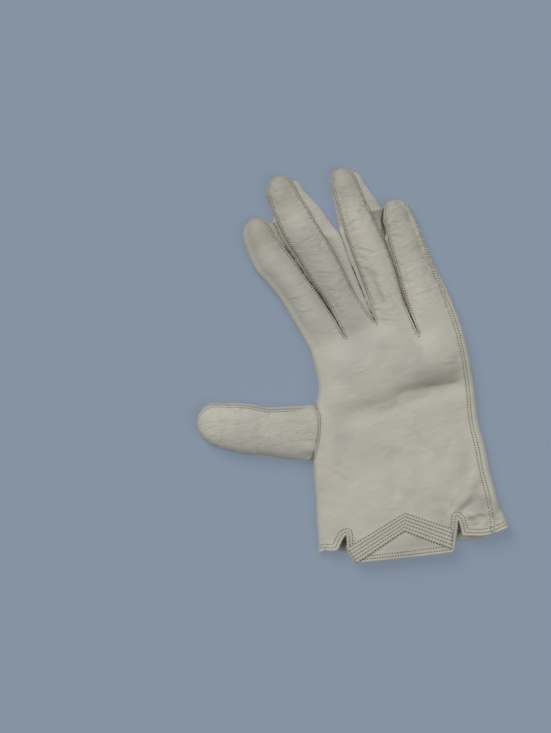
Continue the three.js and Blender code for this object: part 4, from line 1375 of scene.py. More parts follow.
@dataclass
class Trank:
    """Back and palm in one hide: hand, four fingers, and a cuff with two notches and a tab."""

    leather: Material
    thread: Material
    hole: Material
    hem_rows: Pair = (0.9, 2.8)
    seam_row: float = 1.1
    side_row: float = 0.9
    tail: float = 1.9
    notch_axis: Pair = (-0.40, -0.917)
    notch_roundness: float = 0.52
    notch_reach: float = 3.0
    waist_drop: float = 0.45
    tab_sag: float = 0.2
    tab_height: Pair = (8.8, 9.6)
    tab_droop: float = 1.5
    hem_edges: Pair = (5.2, 9.8)
    hem_crown: float = 10.2
    hem_roll: float = 0.75
    hem_tuck: float = 5.0
    smoothing: int = 7
    # Where the right side starts to be drawn out, and over what width.
    wide_from: float = 28.0
    wide_over: float = 16.0
    hole_centre_row: float = 11.0
    hole_half_rows: float = 3.0
    hole_palm_cells: int = 3
    surface: BVHTree | None = None

    HEM_LEFT = (-65.0 + FOLD_DEPTH, -49.6)
    HEM_RIGHT = (40.2 - FOLD_DEPTH, -70.4)
    NOTCH_LEFT = (-55.2, -51.6)
    NOTCH_RIGHT = (14.5, -66.7)
    PALM_HEM = (HemStop(1.7, -52.5, -53.8), HemStop(9.0, -12.0, -62.0), HemStop(17.0, 22.0, -72.0))
    FLAP_HEM = (HemStop(17.7, 24.0, -69.9), HemStop(19.0, 31.2, -70.9))
    TAB_LEFT = ((-49.6, -54.6), (-46.9, -61.8))
    TAB_RIGHT = ((11.4, -62.6), (5.6, -73.4))
    # Middle of the forefinger: its heights in the picture, then its x. Few creases lie left of it.
    INDEX_MIDDLE = ((57.0, 72.0, 88.0, 101.0, 111.0, 126.5), (-26.0, -25.0, -28.0, -33.0, -37.0, -40.0))
    TACKS = (((33.0, -47.2), (36.2, -48.4)), ((13.0, -53.6), (19.5, -50.6)))
    # The hem's free edges lie below a y. The thumb hole's lie between two, left of an x.
    HEM_BELOW = -35.0
    HOLE_EDGES = (-12.0, 34.0, -20.0)
    SWELLS = (Swell(0.44, 17.0, 2.0), Swell(0.16, 6.0, 9.0, (0.7, 1.2, 1.0)))
    WRINKLES = (
        Wrinkles(0.22, 9.0, 3.4, 11.0, 0.40, 1.0), Wrinkles(0.15, 6.0, 2.4, 31.0, 0.30, 0.8),
    )
    # How much of the material's fine lines the hand takes, and the fingers.
    CRINKLE = (0.40, 0.9)
    STRAY = StrayCreases(16, (1.6, 4.2), (0.04, 0.12), (0.5, 0.9))
    # How far the right outline stands out from the plain form, by y.
    WIDER = (
        (-80.0, 0.0), (-71.0, 0.2), (-65.0, 2.2), (-54.0, 1.9), (-37.0, 1.2), (-8.0, 2.1), (18.0, 2.0),
        (42.0, 3.0), (66.0, 3.0), (91.0, 1.3), (111.0, 2.0), (117.0, 2.2), (124.0, 0.6),
    )
    # How far inside the right outline the side seam runs, by y.
    SEAM_INSET = (
        (-73.0, 11.0), (-68.0, 9.2), (-59.0, 6.0), (-48.0, 5.2), (-30.0, 5.2), (0.0, 4.4),
        (30.0, 3.9), (60.0, 3.5), (80.0, 1.8), (93.0, 0.5), (112.0, 0.3),
    )
    # The side seam is looked for between these heights, from the right at the middle of the fold.
    SEAM_ENDS = (119.0, -72.0)
    SEAM_FROM = (90.0, 4.2)

    def __post_init__(self) -> None:
        """Lays out the columns of the ring."""
        strips = np.arange(FINGER_COUNT)[:, None] * STRIP_UNITS
        back = (strips + STRIP_UNITS * strip_stops(STRIP_CELLS)[:-1]).ravel()
        palm = np.linspace(0.0, BACK_UNITS, FINGER_COUNT * PALM_STRIP_CELLS, endpoint=False)
        fold = np.linspace(0.0, FOLD_UNITS, FOLD_CELLS, endpoint=False)
        ends = [back, BACK_UNITS + fold, PALM_START + palm, LEFT_FOLD_START + fold, [RING_UNITS]]
        self.stops = np.concatenate(ends)
        self.notch1 = int(np.argmin(np.abs(back - CUFF_COLUMNS[0][1])))
        self.notch2 = int(np.argmin(np.abs(back - CUFF_COLUMNS[0][2])))
        self.hole_start = len(self.stops) - 1 - FOLD_CELLS - self.hole_palm_cells
        near = self.stops[self.hole_start]
        self.hole_centre = (near + RING_UNITS) / 2.0
        self.hole_half = (RING_UNITS - near) / 2.0

    def build(self) -> None:
        """Makes the hide, its relief, its stitches and its wall."""
        bm = new_sheet()
        self.add_hand(bm)
        self.add_cuff(bm)
        for finger in FINGERS:
            self.add_finger(bm, finger)
        close_sheet(bm, self.facing)
        sewn = touches(bm, Region.BACK) & touches(bm, Region.SIDE)
        edge = np.array([vert.is_boundary for vert in bm.verts])
        smooth_sheet(bm, sewn | edge, self.smoothing)
        self.widen(bm)
        fields = self.shape(bm)
        self.surface = BVHTree.FromBMesh(bm)
        self.sew(bm, fields)
        turn_under(bm, free_edges(bm, self.at_hem), self.hem_roll, self.hem_tuck)
        piece = add_piece("trank_leather", bm, self.leather, ["trank"])
        thicken(piece, LEATHER)

    def widen(self, bm: Sheet) -> None:
        """Draws the right side out, so that the outline bows as the real one does."""
        heights, steps = zip(*self.WIDER)
        for vert in bm.verts:
            reach = float(smoothstep((vert.co.x - self.wide_from) / self.wide_over))
            vert.co.x += reach * float(np.interp(vert.co.y, heights, steps))
        renumber(bm)

    @staticmethod
    def facing(bm: Sheet) -> float:
        """How far the faces of the back point up."""
        layer = bm.faces.layers.int["region"]
        return sum(face.normal.z for face in bm.faces if face[layer] == Region.BACK)

    def at_hem(self, place: Vector) -> bool:
        """Whether a free edge belongs to the cuff."""
        return place.y < self.HEM_BELOW

    def at_hole(self, place: Vector) -> bool:
        """Whether a free edge belongs to the thumb's hole."""
        low, high, right = self.HOLE_EDGES
        return low < place.y < high and place.x < right

    def round_hole(self, column: Array, row: Array) -> tuple[Array, Array]:
        """Eases cells near the square thumb hole, so that it becomes an oval.

        Args:
            column: Columns of the ring.
            row: Rows of the hand.

        Returns:
            The eased columns and rows.
        """
        half_ring = RING_UNITS / 2.0
        off_column = np.mod(column - self.hole_centre + half_ring, RING_UNITS) - half_ring
        off_row = row - self.hole_centre_row
        a, b = off_column / self.hole_half, off_row / self.hole_half_rows
        square = np.maximum(np.maximum(np.abs(a), np.abs(b)), 1e-9)
        circle = np.maximum(np.hypot(a, b), 1e-9)
        blend = 1.0 - smoothstep((square - 1.0) / 1.3)
        scale = 1.0 + (square / circle - 1.0) * blend
        return self.hole_centre + off_column * scale, self.hole_centre_row + off_row * scale

    def add_hand(self, bm: Sheet) -> None:
        """Adds the ring of the hand, with the oval hole for the thumb."""
        first = int(HAND_ROWS * (self.hole_centre_row - self.hole_half_rows) / HAND_UNITS)
        last = int(HAND_ROWS * (self.hole_centre_row + self.hole_half_rows) / HAND_UNITS)

        def place(column: Array, row: Array) -> Array:
            """Points of the ring, eased round the hole."""
            c, r = self.round_hole(self.stops[column], row * HAND_UNITS / HAND_ROWS)
            return HAND.ring(c, r / HAND_UNITS)

        def keep(column: int, row: int) -> bool:
            """Leaves out the cells of the hole."""
            return not (column >= self.hole_start and first <= row < last)

        add_patch(bm, len(self.stops) - 1, HAND_ROWS, place, Region.BACK, keep)
        self.mark_palm(bm)
        self.mark_folds(bm)

    @staticmethod
    def mark_palm(bm: Sheet) -> None:
        """Gives the flat faces of the palm their region."""
        layer = bm.faces.layers.int["region"]
        for face in bm.faces:
            if face.calc_center_median().z < PALM_TOP:
                face[layer] = Region.PALM

    @staticmethod
    def mark_folds(bm: Sheet) -> None:
        """Gives the two side folds of the hand their region, by where they lie past the back."""
        layer = bm.faces.layers.int["region"]
        at = np.linspace(0.0, 1.0, 240)
        left = HAND.back(np.zeros_like(at), at)
        right = HAND.back(np.full_like(at, float(BACK_UNITS)), at)
        for face in bm.faces:
            middle = face.calc_center_median()
            if face[layer] != Region.BACK:
                continue
            left_x = np.interp(middle.y, left[:, 1], left[:, 0])
            right_x = np.interp(middle.y, right[:, 1], right[:, 0])
            if middle.x < left_x or middle.x > right_x:
                face[layer] = Region.FOLD

    def hem_place(self, column: Array, on_palm: bool) -> tuple[Array, Array]:
        """Plan position of the hem.

        Args:
            column: Column of the pattern.
            on_palm: Whether it is the palm's hem, and not the back's.

        Returns:
            x and y.
        """
        left, right = CUFF_COLUMNS[0][1:3]
        notches = (HemStop(left, *self.NOTCH_LEFT), HemStop(right, *self.NOTCH_RIGHT))
        inner = self.PALM_HEM if on_palm else (*notches, *self.FLAP_HEM)
        rows = [HemStop(0.0, *self.HEM_LEFT), *inner, HemStop(float(BACK_UNITS), *self.HEM_RIGHT)]
        return profile(rows, "column", "x", column), profile(rows, "column", "y", column)

    def notch_path(self, top: Array, low: Array, drop: Array, power: Array) -> Array:
        """Plan path from the top of a notch to its foot, which leaves the top sideways.

        Args:
            top: Its start.
            low: Its end.
            drop: Share of the way along it.
            power: How early it turns, 1 for a straight path.

        Returns:
            The places.
        """
        axis = np.array(self.notch_axis)
        axis = axis / np.linalg.norm(axis)
        reach = low - top
        along = (reach @ axis)[..., None] * axis
        return top + along * drop[..., None] + (reach - along) * (drop**power)[..., None]

    def add_cuff(self, bm: Sheet) -> None:
        """Adds the skirt of the cuff on both sides of the tab, and the tab between the notches."""
        stops = self.stops
        ring_cells = len(stops) - 1
        first, last = self.notch2, ring_cells + self.notch1

        def skirt(column: Array, row: Array) -> Array:
            """Points of the skirt, from the right notch round the palm to the left notch."""
            number = (column + first) % ring_cells
            ring_column = stops[number]
            drop = row / CUFF_ROWS
            left_scale = CUFF_COLUMNS[0][1] / stops[self.notch1]
            right_scale = (BACK_UNITS - CUFF_COLUMNS[0][2]) / (BACK_UNITS - stops[self.notch2])

            def back(c: Array, d: Array) -> Array:
                """Points of the back of the skirt, or over the palm's own hem."""
                top = HAND.back(c, np.zeros_like(c))
                from_right = BACK_UNITS - (BACK_UNITS - c) * right_scale
                spread = np.where(c < BACK_UNITS / 2, c * left_scale, from_right)
                on_palm = (ring_column >= PALM_START) & (ring_column <= LEFT_FOLD_START)
                x1, y1 = self.hem_place(spread, False)
                x2, y2 = self.hem_place(c, True)
                low = np.stack([np.where(on_palm, x2, x1), np.where(on_palm, y2, y1)], axis=-1)
                gap = np.minimum(np.abs(c - stops[self.notch1]), np.abs(c - stops[self.notch2]))
                near = np.where(on_palm, 0.0, 1.0 - smoothstep(gap / self.notch_reach))
                plan = self.notch_path(top[..., :2], low, d, 1.0 - (1.0 - self.notch_roundness) * near)
                share = HAND.column_share(c, 0.0)
                edge = lerp(*self.hem_edges, share)
                hem = edge + (self.hem_crown - edge) * dome(share, HAND.dome_power)
                height = lerp(top[..., 2], hem, d) + folds_at(low[..., 0], low[..., 1], FOLDS) * d
                return points_of(plan[..., 0], plan[..., 1], height)

            return HAND.ring(ring_column, drop, back)

        add_patch(bm, last - first, CUFF_ROWS, skirt, Region.BACK)
        self.mark_palm(bm)
        add_patch(bm, self.notch2 - self.notch1, TAB_ROWS, self.tab, Region.BACK)

    def tab(self, column: Array, row: Array) -> Array:
        """Points of the tab.

        Args:
            column: Cells from the left notch.
            row: Cells from its top.

        Returns:
            The points.
        """
        c = self.stops[column + self.notch1]
        c_left, c_right = self.stops[self.notch1], self.stops[self.notch2]
        share = (c - c_left) / (c_right - c_left)
        drop = row / TAB_ROWS
        zero = np.zeros_like(c)
        top = HAND.back(c, zero)
        power = np.full_like(c, self.notch_roundness)
        first = np.clip(drop / self.waist_drop, 0.0, 1.0)
        second = np.clip((drop - self.waist_drop) / (1.0 - self.waist_drop), 0.0, 1.0)[..., None]
        uppers = [HAND.back(np.full_like(c, stop), zero) for stop in (c_left, c_right)]
        ends = [
            self.notch_path(upper[..., :2], waist, first, power) + (low - waist) * second
            for upper, (waist, low) in zip(uppers, np.array((self.TAB_LEFT, self.TAB_RIGHT)))
        ]
        flat = lerp(*ends, share[..., None])
        straight = lerp(*uppers, share[..., None])
        x = flat[..., 0] + (top[..., 0] - straight[..., 0]) * (1.0 - drop)
        y = flat[..., 1] - self.tab_sag * drop * dome(share, 2.0)
        y = y + (top[..., 1] - straight[..., 1]) * (1.0 - drop)
        height = lerp(top[..., 2], lerp(*self.tab_height, share), drop**self.tab_droop)
        return points_of(x, y, height)

    def add_finger(self, bm: Sheet, finger: Finger) -> None:
        """Adds a finger's back and palm strips, its folds, and its walls past the fourchettes."""
        stations = finger.stations()
        rows = len(stations) - 1
        across = strip_stops(STRIP_CELLS)
        add_patch(bm, STRIP_CELLS, rows, lambda c, r: finger.back(stations[r], across[c]), Region.BACK)
        add_patch(
            bm, PALM_STRIP_CELLS, rows,
            lambda c, r: finger.palm(stations[r], c / PALM_STRIP_CELLS), Region.PALM,
        )
        closed = FINGER_ROWS + CLOSED_CAP_ROW
        for side in Side:
            fold = finger.is_fold(side)
            add_patch(
                bm, FOLD_CELLS, rows,
                lambda c, r, side=side: finger.wall(side, stations[r], c / FOLD_CELLS),
                Region.FOLD if fold else Region.SIDE,
                None if fold else lambda c, r: r >= closed,
            )
            if not fold:
                self.add_flaps(bm, finger, side, stations[closed - FLAP_ROWS : closed + 1])

    @staticmethod
    def add_flaps(bm: Sheet, finger: Finger, side: Side, stations: Array) -> None:
        """Closes the end of a fourchette's opening to a point, with an upper and a lower flap.

        Args:
            bm: The hide.
            finger: The finger.
            side: Its side.
            stations: Shares of its length at the flaps' rows.
        """
        width = (stations - stations[0]) / (stations[-1] - stations[0])
        for upper in (True, False):
            def place(column: Array, row: Array, upper: bool = upper) -> Array:
                """Points of the flap, from the seam to its free edge."""
                share = 0.5 * column / FLAP_CELLS * width[row]
                return finger.wall(side, stations[row], share if upper else 1.0 - share)

            add_patch(bm, FLAP_CELLS, FLAP_ROWS, place, Region.SIDE)

    def pointed(self, points: Array, distance: Array) -> Array:
        """Draws the field of the finger seams to a point below each crotch.

        Args:
            points: Where the field is read.
            distance: Distance to the seams.

        Returns:
            The field with its pointed ends.
        """
        for left, (x, y) in enumerate(CROTCHES):
            seams = (FINGERS[left].seam_line(Side.RIGHT), FINGERS[left + 1].seam_line(Side.LEFT))
            ahead = sum(line[90, :2] - line[0, :2] for line in seams)
            ahead /= np.linalg.norm(ahead)
            off = points[:, :2] - (x, y)
            below = -(off @ ahead)
            aside = np.abs(off[:, 0] * ahead[1] - off[:, 1] * ahead[0])
            inside = aside + self.seam_row * np.clip(below / self.tail, 0.0, 1.0)
            past = np.hypot(aside, below - self.tail) + self.seam_row
            end = np.where(below > self.tail, past, np.where(below < 0.0, np.inf, inside))
            distance = np.where(points[:, 2] > BACK_LOW, np.minimum(distance, end), distance)
        return distance

    def shape(self, bm: Sheet) -> dict[str, Array]:
        """Works the seams, creases and soft swells into the hide.

        Args:
            bm: The merged hide.

        Returns:
            For each kind of seam, the vertices' distances to it.
        """
        points = places(bm)
        x, y, z = points.T
        relief = Relief(points)
        back = touches(bm, Region.BACK).astype(float)
        above = (z > 0.6).astype(float)
        edges = [(finger, side) for finger in FINGERS for side in Side]
        lines = [finger.seam_line(side) for finger, side in edges if not finger.is_fold(side)]
        seam, near = nearest(points, np.concatenate(lines))
        fields = {"finger": self.pointed(points, seam)}
        relief.seam(fields["finger"], near, back, self.seam_row)
        fields["side"], near = nearest(points, self.side_seam(BVHTree.FromBMesh(bm)))
        relief.double_seam(fields["side"], near, above, self.side_row)
        fields["hem"], near = nearest(points, self.edge_line(bm, self.at_hem))
        relief.hem(fields["hem"], near, self.hem_rows)
        fields["hole"], near = nearest(points, self.edge_line(bm, self.at_hole))
        relief.seam(fields["hole"], near, above, self.seam_row)
        folds = touches(bm, Region.FOLD).astype(float)
        creased = np.maximum(back, folds * smoothstep((z - 2.5) / 4.5))
        self.add_creases(relief, creased)
        for fold in SOFT_FOLDS:
            far, share, _ = segment_distance(x, y, fold)
            ends = smoothstep(np.minimum(share, 1.0 - share) / 0.2 + 0.15)
            relief.rise += back * fold.rise * ends * bump(far, 0.0, fold.width)
        relief.grey += folds_at(x, y, GREY_SPOTS)
        # Painted shade on the fingertips and in the hollow across the back, and darker cuff patches.
        relief.shade += above * folds_at(x, y, DARKENED_SPOTS)
        fingers = smoothstep((y - 56.0) / 10.0)
        patches = smoothstep(0.5 + 1.3 * soft_noise(points, 16.0, 21.0))
        index_middle = np.interp(y, *self.INDEX_MIDDLE)
        gathered = creased * lerp(0.08, 1.0, smoothstep((x - index_middle) / 12.0))
        relief.crinkle += np.sqrt(gathered) * patches * lerp(*self.CRINKLE, fingers)
        for kind in self.WRINKLES:
            relief.wrinkles(gathered * lerp(kind.on_hand, kind.on_fingers, fingers), kind)
        clear = smoothstep(np.minimum(fields["finger"], fields["hem"]) / 3.0)
        relief.rise += above * swell_of(points, self.SWELLS) * lerp(0.35, 1.0, clear)
        relief.apply(bm)
        return fields

    def add_creases(self, relief: Relief, mask: Array) -> None:
        """Adds the named creases, then short seeded ones across the fingers."""
        wander = soft_noise(relief.points, 5.0, 4.0)
        for crease in CREASES:
            relief.crease(crease, mask, wander)
        random = np.random.default_rng(SEED)
        stray = self.STRAY
        for finger in FINGERS:
            low, high = finger.sections[0].y + 6.0, finger.cap_y
            for _ in range(stray.count):
                y = random.uniform(low, high)
                seams = [float(profile(finger.sections, "y", key, y)) for key in ("seam1", "seam2")]
                middle = lerp(*seams, random.uniform(0.15, 0.85))
                half = random.uniform(*stray.half)
                rise = half * random.uniform(-0.45, 0.15)
                line = (middle - half, y - rise, middle + half, y + rise)
                form = (random.uniform(*stray.depth), random.uniform(*stray.width))
                relief.crease(Crease(*line, *form), mask, wander)

    def side_seam(self, sheet: BVHTree) -> Array:
        """Finds the side seam, from the little finger's tip to the hem.

        Args:
            sheet: The hide.

        Returns:
            Closely spaced points of the seam on it.
        """
        heights, insets = zip(*self.SEAM_INSET)
        start_x, start_z = self.SEAM_FROM
        found = []
        for y in np.linspace(*self.SEAM_ENDS, 380):
            side = sheet.ray_cast(Vector((start_x, y, start_z)), Vector((-1.0, 0.0, 0.0)))[0]
            if side is None:
                continue
            place, _ = straight_down(sheet, side.x - float(np.interp(y, heights, insets)), y)
            if place is not None and place.z > 2.0:
                found.append(np.array(place))
        return sampled([np.stack(pair) for pair in zip(found, found[1:])])

    @staticmethod
    def edge_line(bm: Sheet, inside: Callable[[Vector], bool]) -> Array:
        """Closely spaced points of the free edges that pass a test."""
        pairs = [np.array([v.co for v in edge.verts]) for edge in free_edges(bm, inside)]
        return sampled(pairs)

    def sew(self, bm: Sheet, fields: dict[str, Array]) -> None:
        """Sews the rows along the fingers, the side seam, the hem and the thumb's hole.

        Args:
            bm: The hide.
            fields: For each kind of seam, the vertices' distances to it.
        """
        shown = (Region.BACK, Region.FOLD)
        rows = {
            "finger": ("finger", (self.seam_row,), (Region.BACK,)),
            "side": ("side", (self.side_row,), shown),
            "hem": ("hem", self.hem_rows, shown),
            "thumb_hole": ("hole", (self.seam_row,), shown),
        }
        for name, (key, levels, regions) in rows.items():
            stitching = Stitching()
            for level in levels:
                chains = contours(bm, fields[key], level, regions)
                stitching.sew_where(chains, lambda place: place.z > FOLD_TOP)
            stitching.finish(name, self.thread, self.hole)
        self.tack()

    def tack(self) -> None:
        """Sews the short bar of close stitches above the right notch, where the hem's fold is held."""
        stitching = Stitching(pitch=0.75, length=0.55, thickness=0.42, hole=0.30)
        for line in self.TACKS:
            stops = lerp(*np.array(line), np.linspace(0.0, 1.0, 12)[:, None])
            stitching.sew([straight_down(self.surface, x, y) for x, y in stops])
        stitching.finish("tack", self.thread, self.hole)


@dataclass
class Thumb:
    """A tube of leather set into the oval hole, which lies outwards with its end closed."""

    leather: Material
    thread: Material
    hole: Material
    trank: Trank
    root: Pair = (-46.0, 13.0)
    lean: float = math.radians(69.0)
    length: float = 66.0
    cap_at: float = 0.82
    blend: float = 0.34
    around: int = 88
    rows: int = 60
    cap_rows: int = 14
    seam_angle: float = math.radians(62.0)
    seam_row: float = 1.3
    # The x right of which the side seam isn't sewn, because the hole's gathers are there.
    seam_end: float = -50.0
    bend: float = 5.0
    top_power: float = 2.4
    palm_power: float = 3.4
    smoothing: int = 5

    # The rim of the hole, and the tube's first rows under the hide: cells away from the hole and
    # depth below the hide.
    RIM = (-0.35, 0.35)
    FIRST_ROWS = ((0.42, 1.1), (0.15, 1.1), (-0.10, 1.0), (-0.30, 0.5))
    # The tube is wider at its joint and its root, and narrower between: by how much, where, reach.
    WIDER = ((0.9, 0.62, 0.14), (-0.9, 0.40, 0.13), (0.9, 0.08, 0.12))
    SWELLS = (Swell(0.42, 15.0, 5.0), Swell(0.14, 6.0, 1.0))
    GATHERS = Swell(0.9, 2.6, 14.0)
    WRINKLES = Wrinkles(0.24, 5.0, 3.4, 51.0)
    STRAY = StrayCreases(24, (2.0, 5.5), (0.06, 0.20), (0.6, 1.1))

    def rim(self, angle: Array, cells: float, depth: float) -> Array:
        """Points round the hole.

        Args:
            angle: Where they are on its oval.
            cells: How far away from the oval, in cells.
            depth: How far below the hide.

        Returns:
            The points.
        """
        trank = self.trank
        column = trank.hole_centre + (trank.hole_half + cells) * np.cos(angle)
        row = trank.hole_centre_row + (trank.hole_half_rows + cells) * np.sin(angle)
        step = 0.05
        at = row / HAND_UNITS
        across = HAND.ring(column + step, at) - HAND.ring(column - step, at)
        along = HAND.ring(column, at + step / HAND_UNITS) - HAND.ring(column, at - step / HAND_UNITS)
        normal = np.cross(across, along)
        normal /= np.linalg.norm(normal, axis=-1, keepdims=True)
        return HAND.ring(column, at) - normal * depth

    def tube(self, angle: Array, at: float) -> Array:
        """Points round the thumb, which grows out of the hole's oval into the tube."""
        share = float(smoothstep(np.array(at / self.blend)))
        return lerp(self.rim(angle, *self.RIM), self.section(angle, at), share)

    def section(self, angle: Array, at: float) -> Array:
        """Points round the plain tube.

        Args:
            angle: Where they are round it, 0 at its top.
            at: Share of its length.

        Returns:
            The points.
        """
        cap = np.clip((at - self.cap_at) / (1.0 - self.cap_at), 0.0, 1.0)
        shrink = math.sqrt(max(0.0, 1.0 - float(cap) ** 2))
        keys = ("half_width", "edge", "crown")
        half, edge, crown = (float(profile(THUMB_SECTIONS, "at", key, at)) for key in keys)
        half += sum(step * float(bump(at, middle, reach)) for step, middle, reach in self.WIDER)
        middle = edge / 2.0
        top = np.cos(angle) >= 0.0
        power = np.where(top, 2.0 / self.top_power, 2.0 / self.palm_power)
        across = half * shrink * np.sign(np.sin(angle)) * np.abs(np.sin(angle)) ** power
        reach = np.where(top, crown - middle, -middle) * np.abs(np.cos(angle)) ** power
        height = lerp(FINGERTIP_HEIGHT, middle + reach, shrink)
        ahead = (-math.sin(self.lean), math.cos(self.lean))
        across = across + self.bend * at * at
        x = self.root[0] + ahead[0] * self.length * at + ahead[1] * across
        y = self.root[1] + ahead[1] * self.length * at - ahead[0] * across
        return points_of(x, y, height)

    def build(self) -> None:
        """Makes the tube, its relief and its wall."""
        turn = np.sin(np.pi / 2.0 * np.arange(1, self.cap_rows + 1) / self.cap_rows)
        straight = np.linspace(0.02, self.cap_at, self.rows + 1)
        stations = np.concatenate([straight, lerp(self.cap_at, 1.0, turn)])
        starts = self.FIRST_ROWS

        def place(column: Array, row: Array) -> Array:
            """Points of the tube, row by row from under the hide to the tip."""
            angle = 2.0 * np.pi * column / self.around
            found = np.zeros((len(column), 3))
            for number in np.unique(row):
                here = row == number
                if number < len(starts):
                    found[here] = self.rim(angle[here], *starts[number])
                else:
                    found[here] = self.tube(angle[here], float(stations[number - len(starts)]))
            return found

        def outside(sheet: Sheet) -> float:
            """How far the faces point away from the tube's middle height."""
            return sum(f.normal.z * (f.calc_center_median().z - BACK_LOW) for f in sheet.faces)

        bm = new_sheet()
        add_patch(bm, self.around, len(stations) + len(starts) - 1, place, Region.BACK)
        close_sheet(bm, outside)
        smooth_sheet(bm, np.array([vert.is_boundary for vert in bm.verts]), self.smoothing)
        chains = contours(bm, self.shape(bm), self.seam_row, [Region.BACK])
        stitching = Stitching()
        stitching.sew_where(chains, lambda place: place.z > FOLD_TOP and place.x < self.seam_end)
        stitching.finish("thumb", self.thread, self.hole)
        piece = add_piece("thumb_leather", bm, self.leather, ["thumb"])
        thicken(piece, LEATHER)

    def shape(self, bm: Sheet) -> Array:
        """Works the seam, creases and soft swells into the tube, and gives distances to the seam."""
        points = places(bm)
        relief = Relief(points)
        above = smoothstep((points[:, 2] - 0.4) / 0.8)
        at = np.linspace(0.12, 1.0, 260)
        line = np.concatenate([self.tube(np.array([self.seam_angle]), float(a)) for a in at])
        seam, near = nearest(points, sampled([line]))
        out = smoothstep((-45.0 - points[:, 0]) / 5.0)
        relief.seam(seam, near, above * out, self.seam_row)
        wander = soft_noise(points, 5.0, 6.0)
        random = np.random.default_rng(SEED + 1)
        ahead = np.array([-math.sin(self.lean), math.cos(self.lean)])
        across = np.array([ahead[1], -ahead[0]])
        for _ in range(self.STRAY.count):
            along = random.uniform(0.16, 0.86) * self.length
            middle = np.array(self.root) + ahead * along + across * random.uniform(-9.0, 9.0)
            half = random.uniform(*self.STRAY.half)
            reach = half * (across + ahead * random.uniform(-0.3, 0.3))
            form = (random.uniform(*self.STRAY.depth), random.uniform(*self.STRAY.width))
            relief.crease(Crease(*(middle - reach), *(middle + reach), *form), above, wander)
        relief.rise += above * swell_of(points, self.SWELLS)
        relief.wrinkles(above * out, self.WRINKLES)
        turn = np.linspace(0.0, 2.0 * np.pi, 500)
        base, at_base = nearest(points, self.rim(turn, *self.RIM))
        relief.pucker(base, at_base, above, self.GATHERS, 3.0, 3.6)
        relief.crinkle += 0.8 * above
        relief.apply(bm)
        return seam


